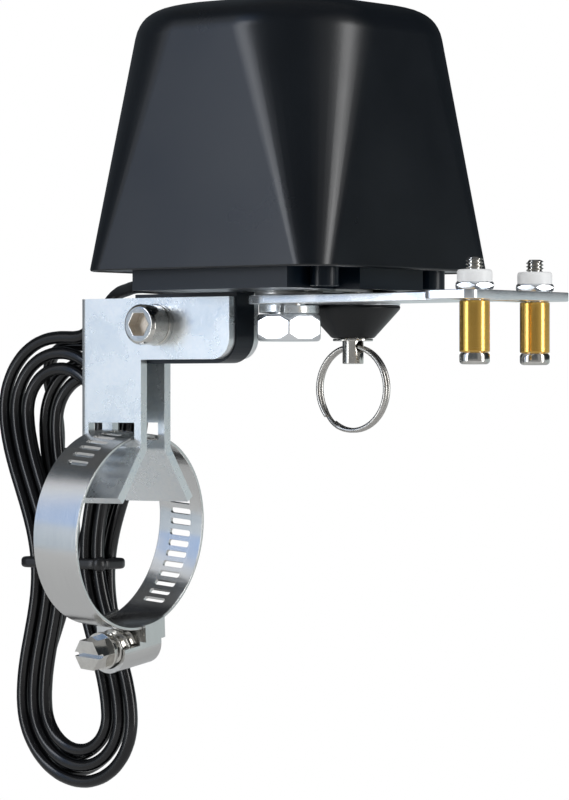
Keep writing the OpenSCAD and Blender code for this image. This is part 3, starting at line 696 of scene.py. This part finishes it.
# Faces inside the socket take the second finish, whose paler colour is painted light in the socket.
for face in bolt_shape.faces:
    middle = face.calc_center_median()
    in_socket = SOCKET_LIP < middle.y - bolt_front.y < SOCKET_DEPTH
    face.material_index = int(in_socket and (middle - bolt_axis).xz.length < SOCKET_R)
bolt = set_piece("bracket_socket_bolt", bolt_shape, "body", "nickel", NICKEL, SOCKET_PAINTED_LIGHT)
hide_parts("bracket_bolt")
washer = eased_piece("bracket_flat_washer", "bracket_washer", "nickel", 0.2 * MM, NICKEL)
nut = eased_piece("bracket_hex_nut", "bracket_nut", "zinc", 0.35 * MM, ZINC_BRIGHT)
print("bracket bolt:", [o.name for o in (bolt, washer, nut)])

# %% Band with round-ended slots
BAND_W = 12 * MM
NEAR = 0.01 * MM
LEAN = leant(CLAMP_LEAN)
SLOT_L = 5.6 * MM
SLOT_END_R = 0.6 * MM


def is_slot_corner(edge):
    """An edge that runs through the strip at the corner of a slot."""
    first, second = (v.co for v in edge.verts)
    across = abs(first.x - second.x) < NEAR and abs(abs(first.x) - SLOT_L / 2) < NEAR
    return across and abs(first.yz.length - second.yz.length) > 0.5 * (first.yz - second.yz).length


strip = merged_copy("clamp_band")
strip.transform(LEAN.inverted())
slot_corners = [e for e in strip.edges if is_slot_corner(e)]
ease(strip, slot_corners, SLOT_END_R, 4)
rims = [e for e in sharp_edges(strip) if all(abs(abs(v.co.x) - BAND_W / 2) < NEAR for v in e.verts)]
ease(strip, rims, 0.16 * MM)
strip.transform(LEAN)
band = set_piece("punched_band", strip, "body", "stainless", STAINLESS)
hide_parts("clamp_band")
print("slot corners:", len(slot_corners))

# %% [markdown]
# The clamp's worm screw has a real helix: one tooth of the thread is spun round the screw's axis
# while it climbs. The slotted hexagon head is cut from the solid and eased, because its flats and
# its slot are right as they are. Everything is made standing on Z and then laid along the screw.

# %% Cut, spun and wound shapes
def cut_face(shape, place, outward):
    """Cuts away what stands outside a plane and closes the cut."""
    made = bmesh.ops.bisect_plane(shape, geom=shape.verts[:] + shape.edges[:] + shape.faces[:], dist=WELD,
                                  plane_co=place, plane_no=outward, clear_outer=True)
    edges = only(bmesh.types.BMEdge, made["geom_cut"])
    if edges:
        bmesh.ops.contextual_create(shape, geom=edges)


def turned_profile(shape, profile, steps=48):
    """Spins a profile of (radius, height) points round Z, closed at the poles."""
    points = [shape.verts.new((r, 0, z)) for r, z in profile]
    edges = [shape.edges.new(pair) for pair in zip(points, points[1:])]
    bmesh.ops.spin(shape, geom=points + edges, cent=(0, 0, 0), axis=(0, 0, 1), angle=math.tau, steps=steps,
                   use_merge=True)
    bmesh.ops.remove_doubles(shape, verts=shape.verts, dist=WELD)
    face_out(shape)


def arc(cx, cz, r, start, stop, steps=5):
    """Points of a round edge in a profile, angles in degrees."""
    turns = [math.radians(start + (stop - start) * k / steps) for k in range(steps + 1)]
    return [(cx + r * math.cos(a), cz + r * math.sin(a)) for a in turns]


def wire_section(radius, height, wire, sides):
    """The round section of a wire, as (radius, height) points."""
    return arc(radius, height, wire / 2, 0, 360, sides)[:-1]


def wind(shape, face, turns, climb, steps):
    """Sweeps a face round Z while it climbs."""
    return bmesh.ops.spin(shape, geom=[face], cent=(0, 0, 0), axis=(0, 0, 1), dvec=(0, 0, climb / steps),
                          angle=math.tau * turns, steps=steps)


def wound_wire(shape, section, turns, climb, steps):
    """Winds a wire from its section, given as (radius, height) points."""
    face = shape.faces.new([shape.verts.new((r, 0, z)) for r, z in section])
    return wind(shape, face, turns, climb, steps)


def to_axis_of(low, high):
    """A move from the Z axis to the upright axis of a box."""
    return Matrix.Translation(((low.x + high.x) / 2, (low.y + high.y) / 2, 0))


print("shape helpers ready")

# %% Worm screw and its housing
WORM_R = 4 * MM
WORM_CORE = 3.1 * MM
WORM_ROOT = 2.95 * MM
WORM_PITCH = 2.4 * MM
WORM_TURNS = 4.2
WORM_STEPS = 129
WORM_TILT = math.radians(8.5)
WORM_PLACE = Vector(JOINTS["clamp_screw_turn"]["pos_m"])
WIRE_CORNER = math.radians(40)
HEAD_START = 6.4 * MM
HEAD_SINK = 0.05 * MM
HEAD_SHARE = 0.86
TIP = (-7.2 * MM, -6.2 * MM)
ALONG_WORM = (Matrix.Translation(WORM_PLACE) @ Matrix.Rotation(CLAMP_LEAN, 4, "Y")
              @ Matrix.Rotation(math.pi / 2 + WORM_TILT, 4, "X"))
TOOTH = [(WORM_ROOT, -5.6 * MM), (WORM_R, -5 * MM), (WORM_R, -4.5 * MM), (WORM_ROOT, -3.9 * MM)]
CORE = [(0, TIP[0]), (3.5 * MM, TIP[0]), (3.8 * MM, TIP[0] + 0.3 * MM), (3.8 * MM, TIP[1] - 0.2 * MM),
        (3.6 * MM, TIP[1]), (WORM_CORE, TIP[1]), (WORM_CORE, HEAD_START), (0, HEAD_START)]

worm = merged_copy("clamp_screw")
worm.transform(ALONG_WORM.inverted())
cut_face(worm, (0, 0, HEAD_START - HEAD_SINK), (0, 0, -1))
bmesh.ops.scale(worm, vec=(HEAD_SHARE, HEAD_SHARE, 1), verts=worm.verts)
ease(worm, sharp_edges(worm), 0.22 * MM)
thread = bmesh.new()
turned_profile(thread, CORE)
wound_wire(thread, TOOTH, WORM_TURNS, WORM_TURNS * WORM_PITCH, WORM_STEPS)
face_out(thread)
ease(thread, sharp_edges(thread, WIRE_CORNER), 0.08 * MM)
spare = as_mesh("thread", thread)
worm.from_mesh(spare)
worm.transform(ALONG_WORM)
bpy.data.meshes.remove(spare)
worm_screw = set_piece("worm_screw", worm, "screw", "nickel", NICKEL)
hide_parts("clamp_screw")
worm_case = eased_piece("worm_housing", "clamp_housing", "stainless", 0.3 * MM, STAINLESS)
print("worm drive:", worm_screw.name, worm_case.name)

# %% [markdown]
# ## Arm and its fastening
# The arm is punched from zinc-plated strip, so its edges are only lightly broken. It is held by a
# hexagon bolt whose head is chamfered on both faces, which gives every flat its arched ends. The
# spring washer is one turn of square wire, split, with its ends a little apart.

# %% Arm and pivot bolt
HEX_FLATS = 13 * MM
HEX_TURN = math.radians(38)
BOLT_R = 4 * MM
HEAD_EASE = 6.1 * MM
HEAD_DROP = 1.4 * MM
HEX_CORNER = math.radians(12)
SHANK_SINK = 1 * MM
SHANK_TIP = 0.6 * MM
CHAMFER_CUTS = 12
bolt_low, bolt_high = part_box("pivot_bolt")
washer_low, washer_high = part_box("spring_washer")
ON_AXIS = Matrix.Translation((OUTPUT_AXIS.x, OUTPUT_AXIS.y, 0))


def hexagon_head(shape, flats, low, high, chamfer_r, drop, turn, edge):
    """A hexagon prism whose two end faces are chamfered to a circle, with eased edges."""
    made = bmesh.ops.create_circle(shape, cap_ends=True, segments=6, radius=flats / math.sqrt(3),
                                   matrix=Matrix.Translation((0, 0, low)) @ Matrix.Rotation(turn, 4, "Z"))
    grown = bmesh.ops.extrude_face_region(shape, geom=list({f for v in made["verts"] for f in v.link_faces}))
    bmesh.ops.translate(shape, verts=only(bmesh.types.BMVert, grown["geom"]), vec=(0, 0, high - low))
    face_out(shape)
    rise = flats / math.sqrt(3) - chamfer_r
    for k in range(CHAMFER_CUTS):
        angle = math.tau * k / CHAMFER_CUTS + turn
        for end, sign in ((low, -1), (high, 1)):
            tilt = Vector((math.cos(angle) * drop, math.sin(angle) * drop, sign * rise))
            place = Vector((math.cos(angle) * chamfer_r, math.sin(angle) * chamfer_r, end))
            cut_face(shape, place, tilt.normalized())
    face_out(shape)
    ease(shape, sharp_edges(shape, HEX_CORNER), edge)


arm = eased_piece("arm_strip", "arm_plate", "zinc", 0.22 * MM, ZINC_BRIGHT)
head_z1 = washer_low.z
hexagon = bmesh.new()
hexagon_head(hexagon, HEX_FLATS, bolt_low.z, head_z1, HEAD_EASE, HEAD_DROP, HEX_TURN, 0.26 * MM)
turned_profile(hexagon, [(0, head_z1 - SHANK_SINK), (BOLT_R, head_z1 - SHANK_SINK),
                         (BOLT_R, bolt_high.z - SHANK_TIP), (BOLT_R - SHANK_TIP, bolt_high.z),
                         (0, bolt_high.z)])
hexagon.transform(ON_AXIS)
pivot = set_piece("pivot_hex_bolt", hexagon, "output", "zinc", ZINC_BRIGHT)
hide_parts("pivot_bolt")
print("arm:", arm.name, pivot.name)

# %% Split spring washer
SPLIT_GAP = 0.02
SPLIT_TURN = math.radians(-62)
WASHER_CLIMB = 0.3 * MM
WASHER_IN = 4.15 * MM
WASHER_OUT = 6.2 * MM
WASHER_STEPS = 56
wire_top = washer_high.z - WASHER_CLIMB
split = bmesh.new()
wound_wire(split, [(WASHER_IN, washer_low.z), (WASHER_OUT, washer_low.z), (WASHER_OUT, wire_top),
                   (WASHER_IN, wire_top)], 1 - SPLIT_GAP, WASHER_CLIMB, WASHER_STEPS)
face_out(split)
ease(split, sharp_edges(split, WIRE_CORNER), 0.2 * MM)
split.transform(ON_AXIS @ Matrix.Rotation(SPLIT_TURN, 4, "Z"))
spring = set_piece("split_washer", split, "output", "zinc", ZINC)
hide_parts("spring_washer")
thrust = eased_piece("thrust_ring", "thrust_washer", "steel", 0.15 * MM, PLAIN_STEEL)
print("washers:", spring.name, thrust.name)

# %% [markdown]
# ## Clutch plunger
# A black moulded cone hangs under the arm and guides a steel pin. Pulling the split ring draws the
# pin out of the crank. The ring is made as the real one is: spring wire wound almost twice round,
# stepping from one layer to the next at one place, so both of its cut ends show.

# %% Cone, pin and clip
cone = eased_piece("plunger_cone", "plunger_housing", "housing", 0.4 * MM, CUP_BLACK)
pin = eased_piece("plunger_rod", "plunger_pin", "nickel", 0.3 * MM, NICKEL)
clip = eased_piece("plunger_disc_clip", "plunger_clip", "nickel", 0.12 * MM, NICKEL)
print("plunger:", [o.name for o in (cone, pin, clip)])

# %% Split ring
RING_R = 8.75 * MM
RING_WIRE = 1 * MM
RING_STEP = 0.96 * MM
RING_SIDES = 16
RING_LAP = 0.93
RING_LAP_STEPS = 160
RING_CLIMB = 0.1
RING_CLIMB_STEPS = 20
RING_START = math.radians(235)
ring_eye = Vector(JOINTS["ring_swing"]["pos_m"])


def wind_on(shape, end, turns, climb, steps):
    """Carries a swept wire on from its last face, and drops the face left inside it."""
    face = only(bmesh.types.BMFace, end["geom_last"])[0]
    made = wind(shape, face, turns, climb, steps)
    bmesh.ops.delete(shape, geom=[face], context="FACES_ONLY")
    return made


wire = bmesh.new()
section = wire_section(RING_R, -RING_STEP / 2, RING_WIRE, RING_SIDES)
end = wound_wire(wire, section, RING_LAP, 0, RING_LAP_STEPS)
end = wind_on(wire, end, RING_CLIMB, RING_STEP, RING_CLIMB_STEPS)
wind_on(wire, end, RING_LAP, 0, RING_LAP_STEPS)
face_out(wire)
wire.transform(Matrix.Translation(ring_eye - Vector((0, 0, RING_R))) @ Matrix.Rotation(math.pi / 2, 4, "X")
               @ Matrix.Rotation(RING_START, 4, "Z"))
ring = set_piece("split_ring", wire, "ring", "nickel", RING_NICKEL)
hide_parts("pull_ring")
print("ring faces:", len(ring.data.polygons))

# %% Spring inside the cone
COIL_TURNS = 5
COIL_WIRE = 0.8 * MM
COIL_SIDES = 8
COIL_STEPS = 120
spring_low, spring_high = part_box("plunger_spring")
spring_body = frame["nodes"]["plunger_spring"]["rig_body"]
coil_mid = (spring_high.x - spring_low.x) / 2 - COIL_WIRE / 2
coil = bmesh.new()
wound_wire(coil, wire_section(coil_mid, spring_low.z + COIL_WIRE / 2, COIL_WIRE, COIL_SIDES),
           COIL_TURNS, spring_high.z - spring_low.z - COIL_WIRE, COIL_STEPS)
face_out(coil)
coil.transform(to_axis_of(spring_low, spring_high))
return_spring = set_piece("return_spring", coil, spring_body, "steel", PLAIN_STEEL)
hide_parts("plunger_spring")
print("spring rides on", spring_body)

# %% [markdown]
# ## Lever pins
# Each pin is a screw with a low round head, a brass sleeve that turns on it, and a lock nut above
# the arm: a hexagon with chamfered corners under a round collar of white nylon. The sleeve and head
# are spun from profiles, so their edges get true radii. The screw's tip stands out of the nut, and
# its thread is one tooth wound round a thinner core.

# %% Sleeves, screws and lock nuts
SLEEVE_R = 3 * MM
PIN_R = 2 * MM
TIP_R = 1.75 * MM
TIP_CORE = 1.4 * MM
TIP_ROOT = 1.35 * MM
TIP_PITCH = 0.7 * MM
TIP_TOOTH = 0.56 * MM
TIP_STEPS_A_TURN = 24
HEAD_GAP = 0.05 * MM
NECK_DROP = 1 * MM
COLLAR_RISE = 0.35 * MM
COLLAR_SINK = 0.2 * MM
NUT_FLATS = 7.4 * MM
NUT_RISE = 1.75 * MM
NUT_EASE = 3.3 * MM
NUT_DROP = 0.8 * MM


def sleeve_profile(low, high):
    edge = 0.3 * MM
    bore = PIN_R + 0.08 * MM
    rim = SLEEVE_R - edge
    return ([(bore, low)] + arc(rim, low + edge, edge, -90, 0) + arc(rim, high - edge, edge, 0, 90)
            + [(bore, high), (bore, low)])


def head_profile(low, high, neck, top):
    """Round head with a soft lower edge, a chamfer above, a plain shank, and the core of the thread."""
    soft, tip = 0.75 * MM, 0.3 * MM
    recess_r, recess_z = 1.35 * MM, low + 1.4 * MM
    return ([(0, recess_z), (recess_r, recess_z), (recess_r, low + 0.12 * MM), (1.5 * MM, low)]
            + arc(SLEEVE_R - soft, low + soft, soft, -90, 0)
            + [(SLEEVE_R, high - 0.5 * MM), (SLEEVE_R - 0.35 * MM, high), (PIN_R, high), (PIN_R, neck),
               (TIP_CORE, neck), (TIP_CORE, top - tip), (TIP_CORE - tip, top), (0, top)])


def tip_thread(shape, low, high):
    """The thread that stands out of the nut: one tooth wound round the core."""
    turns = (high - low - TIP_TOOTH) / TIP_PITCH
    section = [(TIP_ROOT, low), (TIP_R, low + 0.24 * MM), (TIP_R, low + 0.32 * MM),
               (TIP_ROOT, low + TIP_TOOTH)]
    wound_wire(shape, section, turns, turns * TIP_PITCH, round(TIP_STEPS_A_TURN * turns))
    face_out(shape)


def collar_profile(low, high):
    rim, soft = 3.5 * MM, 0.6 * MM
    return ([(TIP_CORE, low), (rim, low), (rim, high - soft)] + arc(rim - soft, high - soft, soft, 0, 90)
            + [(TIP_R + 0.1 * MM, high), (TIP_CORE, high - 0.3 * MM), (TIP_CORE, low)])


def lever_pin(number):
    """Sleeve, screw and nut of one pin; the nut's collar is nylon."""
    sleeve_low, sleeve_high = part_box("lever_sleeve_%d" % number)
    screw_low, screw_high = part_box("lever_screw_%d" % number)
    nut_low, nut_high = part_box("lever_nut_%d" % number)
    here = to_axis_of(sleeve_low, sleeve_high)
    sleeve = bmesh.new()
    turned_profile(sleeve, sleeve_profile(sleeve_low.z, sleeve_high.z))
    screw = bmesh.new()
    turned_profile(screw, head_profile(screw_low.z, sleeve_low.z - HEAD_GAP, nut_high.z - NECK_DROP,
                                       screw_high.z))
    tip_thread(screw, nut_high.z, screw_high.z)
    nut_shape = bmesh.new()
    waist_z = nut_low.z + NUT_RISE
    hexagon_head(nut_shape, NUT_FLATS, nut_low.z, waist_z, NUT_EASE, NUT_DROP, HEX_TURN, 0.16 * MM)
    turned_profile(nut_shape, collar_profile(waist_z - COLLAR_SINK, nut_high.z + COLLAR_RISE))
    for face in nut_shape.faces:
        face.material_index = int(face.calc_center_median().z > waist_z + NEAR)
    made = []
    for name, shape, node, slot, finishes in (
            ("brass_sleeve", sleeve, "lever_sleeve", "brass", [BRASS]),
            ("sleeve_screw", screw, "lever_screw", "nickel", [NICKEL]),
            ("lock_nut", nut_shape, "lever_nut", "zinc", [ZINC_BRIGHT, NYLON_WHITE])):
        shape.transform(here)
        node_name = "%s_%d" % (node, number)
        body = frame["nodes"][node_name]["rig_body"]
        piece = set_piece("%s_%d" % (name, number), shape, body, slot, *finishes)
        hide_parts(node_name)
        made.append(piece.name)
    return made


print("pins:", lever_pin(1), lever_pin(2))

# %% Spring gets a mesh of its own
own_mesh(return_spring)

# %% [markdown]
# ## Cord fittings
# The gland is a short ribbed sleeve, moulded on the cord where it leaves the base. A soft strap holds
# the hank at its waist, with a bead at its front corner for the knot. The far end carries a moulded
# plug with a ridged neck and a bright metal barrel, spun from one profile and faced with two finishes.

# %% Gland, strap and plug
PLUG = [(0, 0), (2.1, 0), (2.35, -0.25), (2.35, -1.2), (1.95, -1.5), (2.6, -1.9), (2.6, -2.8),
        (2.2, -3.1), (2.85, -3.5), (2.85, -4.4), (2.45, -4.7), (3.1, -5.1), (3.1, -6), (2.7, -6.3),
        (3.4, -8), (4.4, -9), (4.7, -9.5), (4.8, -10.4), (4.8, -26), (4.65, -26.8), (4.2, -28),
        (2.75, -28), (2.75, -37.2), (2.45, -37.5), (1.25, -37.5), (1.25, -29), (0, -29)]
PLUG_CORNER = math.radians(35)
PLUG_STEPS = 40
BARREL_R = 2.8 * MM
BARREL_TOP = 27.9 * MM
BEAD_R = 1.7 * MM

gland = eased_piece("ribbed_gland", "cable_gland", "cord", 0.18 * MM, CUP_BLACK)
strap_low, strap_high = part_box("cord_tie")
strap_shape = merged_copy("cord_tie")
ease(strap_shape, sharp_edges(strap_shape), 0.8 * MM, 4)
bmesh.ops.create_uvsphere(strap_shape, u_segments=24, v_segments=14, radius=BEAD_R, matrix=Matrix.Translation(
    (strap_high.x - BEAD_R, strap_low.y + BEAD_R, (strap_low.z + strap_high.z) / 2)))
strap = set_piece("hank_strap", strap_shape, "body", "cord", TIE_BLACK)
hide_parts("cord_tie")
plug_shape = bmesh.new()
turned_profile(plug_shape, [(r * MM, z * MM) for r, z in PLUG], PLUG_STEPS)
ease(plug_shape, sharp_edges(plug_shape, PLUG_CORNER), 0.12 * MM)
for face in plug_shape.faces:
    middle = face.calc_center_median()
    face.material_index = int(middle.z < -BARREL_TOP and middle.xy.length < BARREL_R)
plug_shape.transform(Matrix.Translation(plug_top))
plug = set_piece("barrel_plug", plug_shape, "body", "cord", CUP_BLACK, NICKEL)
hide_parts("cord_plug")
print("cord fittings:", gland.name, strap.name, plug.name)

# %% [markdown]
# ## Inside the housing
# The gear train, motor, board and switches stay as their solids, since the cover hides them. Each
# still gets the finish of what it is, so that an opened model looks right.

# %% Finishes of the inner solids
INSIDE = [
    (PLAIN_STEEL, ["cover_screws", "gear_plate", "gear_plate_screws", "gearmotor", "output_shaft"]),
    (BRASS, ["shaft_bush", "drive_pinion"]),
    (CUP_BLACK, ["switch_open", "switch_closed"]),
    (BOARD_GREEN, ["circuit_board"]), (NICKEL, ["radio_module"]),
    (GEAR_CREAM, ["output_gear"]), (ZINC, ["drive_crank"]),
]
for finish, nodes in INSIDE:
    for node in nodes:
        solid = frame["nodes"][node]
        solid.data.materials.clear()
        solid.data.materials.append(finish)
print("finishes of inner solids:", len(INSIDE))

# %% [markdown]
# ## Studio
# A catalogue shot: white all round, a tall strip of light on each side and a soft lamp in front.
# Bright metal and glossy black show mostly what stands around them, so curved screens stand round
# the object, each with its own tone, and are seen in reflections only. Upright faces low on the
# object show the low screens and the leaning cover shows the high ones, so most sides have both.
# The world is white where it is seen directly or in a reflection, and dimmer as a source of light.

# %% World
FILL = 0.42
studio = bpy.data.worlds.new("studio")
scene.world = studio
studio.use_nodes = True
air = studio.node_tree
air.nodes.clear()
rays = air.nodes.new("ShaderNodeLightPath").outputs
seen = rays["Is Camera Ray"]
for kind in ("Is Glossy Ray", "Is Transmission Ray"):
    either = add_node(air, "ShaderNodeMath", operation="MAXIMUM")
    join(air, seen, either.inputs[0])
    join(air, rays[kind], either.inputs[1])
    seen = either.outputs["Value"]
dim = add_node(air, "ShaderNodeBackground", inputs={"Color": (0.96, 0.98, 1, 1), "Strength": FILL})
white = add_node(air, "ShaderNodeBackground", inputs={"Color": (1, 1, 1, 1), "Strength": 1.0})
chosen = air.nodes.new("ShaderNodeMixShader")
join(air, seen, chosen.inputs["Fac"])
sky = air.nodes.new("ShaderNodeOutputWorld")
join_rows(air, (dim, "Background", chosen, 1), (white, "Background", chosen, 2),
          (chosen, "Shader", sky, "Surface"))
scene.view_settings.view_transform = "Standard"
print("world:", studio.name)


# %% Lamps, screens and floor
MIDDLE = Vector((0.03, 0, 0.03))
SCREEN_R = 1.0
SCREEN_STEPS = 24
LOW, HIGH, WHOLE = (-0.5, 0.05), (0.05, 1.2), (-0.5, 1.2)
FLOOR_Z = -0.15
LAMPS = [("strip_left", -114, 12, 0.9, (0.2, 0.9), 2.7, True),
         ("strip_right", 10, 8, 0.9, (0.22, 0.9), 4.2, True),
         ("front", -80, 38, 1.2, (0.8, 0.8), 2.5, False)]
SCREENS = [
    ("screen_left", -134, -106, HIGH, (0.28, 0.47, 0.84)),
    ("screen_left_low", -144, -106, LOW, (0.58, 0.66, 0.75)),
    ("screen_front", -106, -30, HIGH, (0.13, 0.14, 0.15)),
    ("screen_front_low", -106, -30, LOW, (0.36, 0.36, 0.36)),
    ("screen_near_right", -30, 28, WHOLE, (0.35, 0.35, 0.35)),
    ("screen_right", 28, 130, HIGH, (0.03, 0.035, 0.04)),
    ("screen_right_low", 28, 130, LOW, (0.55, 0.61, 0.62)),
    ("screen_back", 130, 216, WHOLE, (0.08, 0.09, 0.1)),
]


def around(turn, lift, distance):
    """A place round the object, by its bearing from X and its height angle in degrees."""
    turn, lift = math.radians(turn), math.radians(lift)
    level = math.cos(lift)
    return MIDDLE + distance * Vector((level * math.cos(turn), level * math.sin(turn), math.sin(lift)))


def soft_lamp(name, place, size, power):
    """A rectangle of light that faces the object."""
    lamp = bpy.data.lights.new(name, "AREA")
    lamp.shape = "RECTANGLE"
    lamp.size, lamp.size_y = size
    lamp.energy = power
    made = add_object(name, lamp)
    made.location = place
    made.rotation_mode = "QUATERNION"
    made.rotation_quaternion = (place - MIDDLE).to_track_quat("Z", "Y")
    return made


def stage_mesh(name, shape, paint):
    """A panel of the studio, not part of the object."""
    mesh = as_mesh(name, shape)
    mesh.materials.append(paint)
    made = add_object(name, mesh)
    return made


def stage_disc(name, radius, tone):
    """A round matt panel."""
    shape = bmesh.new()
    bmesh.ops.create_circle(shape, cap_ends=True, segments=96, radius=radius)
    return stage_mesh(name, shape, start_finish(name + "_paint", (tone, tone, tone), 0.0, 0.9)[0])


def seen_in_gloss_only(obj):
    for way in ("camera", "diffuse", "transmission", "shadow", "volume_scatter"):
        setattr(obj, "visible_" + way, False)


def screen(name, start, stop, heights, tone):
    """A curved screen round the object, from one bearing to another, with its own even tone."""
    shape = bmesh.new()
    foot, head = [shape.verts.new((SCREEN_R, 0, z)) for z in heights]
    bmesh.ops.spin(shape, geom=[foot, head, shape.edges.new((foot, head))], cent=(0, 0, 0), axis=(0, 0, 1),
                   angle=math.radians(stop - start), steps=SCREEN_STEPS)
    shape.transform(Matrix.Translation(MIDDLE) @ Matrix.Rotation(math.radians(start), 4, "Z"))
    paint, _, shader, _ = start_finish(name + "_paint", (0, 0, 0), 0.0, 1.0)
    set_inputs(shader, {"Specular IOR Level": 0, "Emission Color": (*tone, 1), "Emission Strength": 1})
    seen_in_gloss_only(stage_mesh(name, shape, paint))


for name, turn, lift, distance, size, power, in_gloss in LAMPS:
    made = soft_lamp(name, around(turn, lift, distance), size, power)
    made.visible_glossy = in_gloss
    made.visible_camera = False
for row in SCREENS:
    screen(*row)
roof = stage_disc("roof", 1.1, 0.2)
roof.location = MIDDLE + Vector((0, 0, HIGH[1]))
seen_in_gloss_only(roof)
floor = stage_disc("floor", 0.5, 0.8)
floor.location.z = FLOOR_Z
print("lamps:", len(LAMPS), "screens:", len(SCREENS))

# %% Final update
bpy.context.view_layer.update()
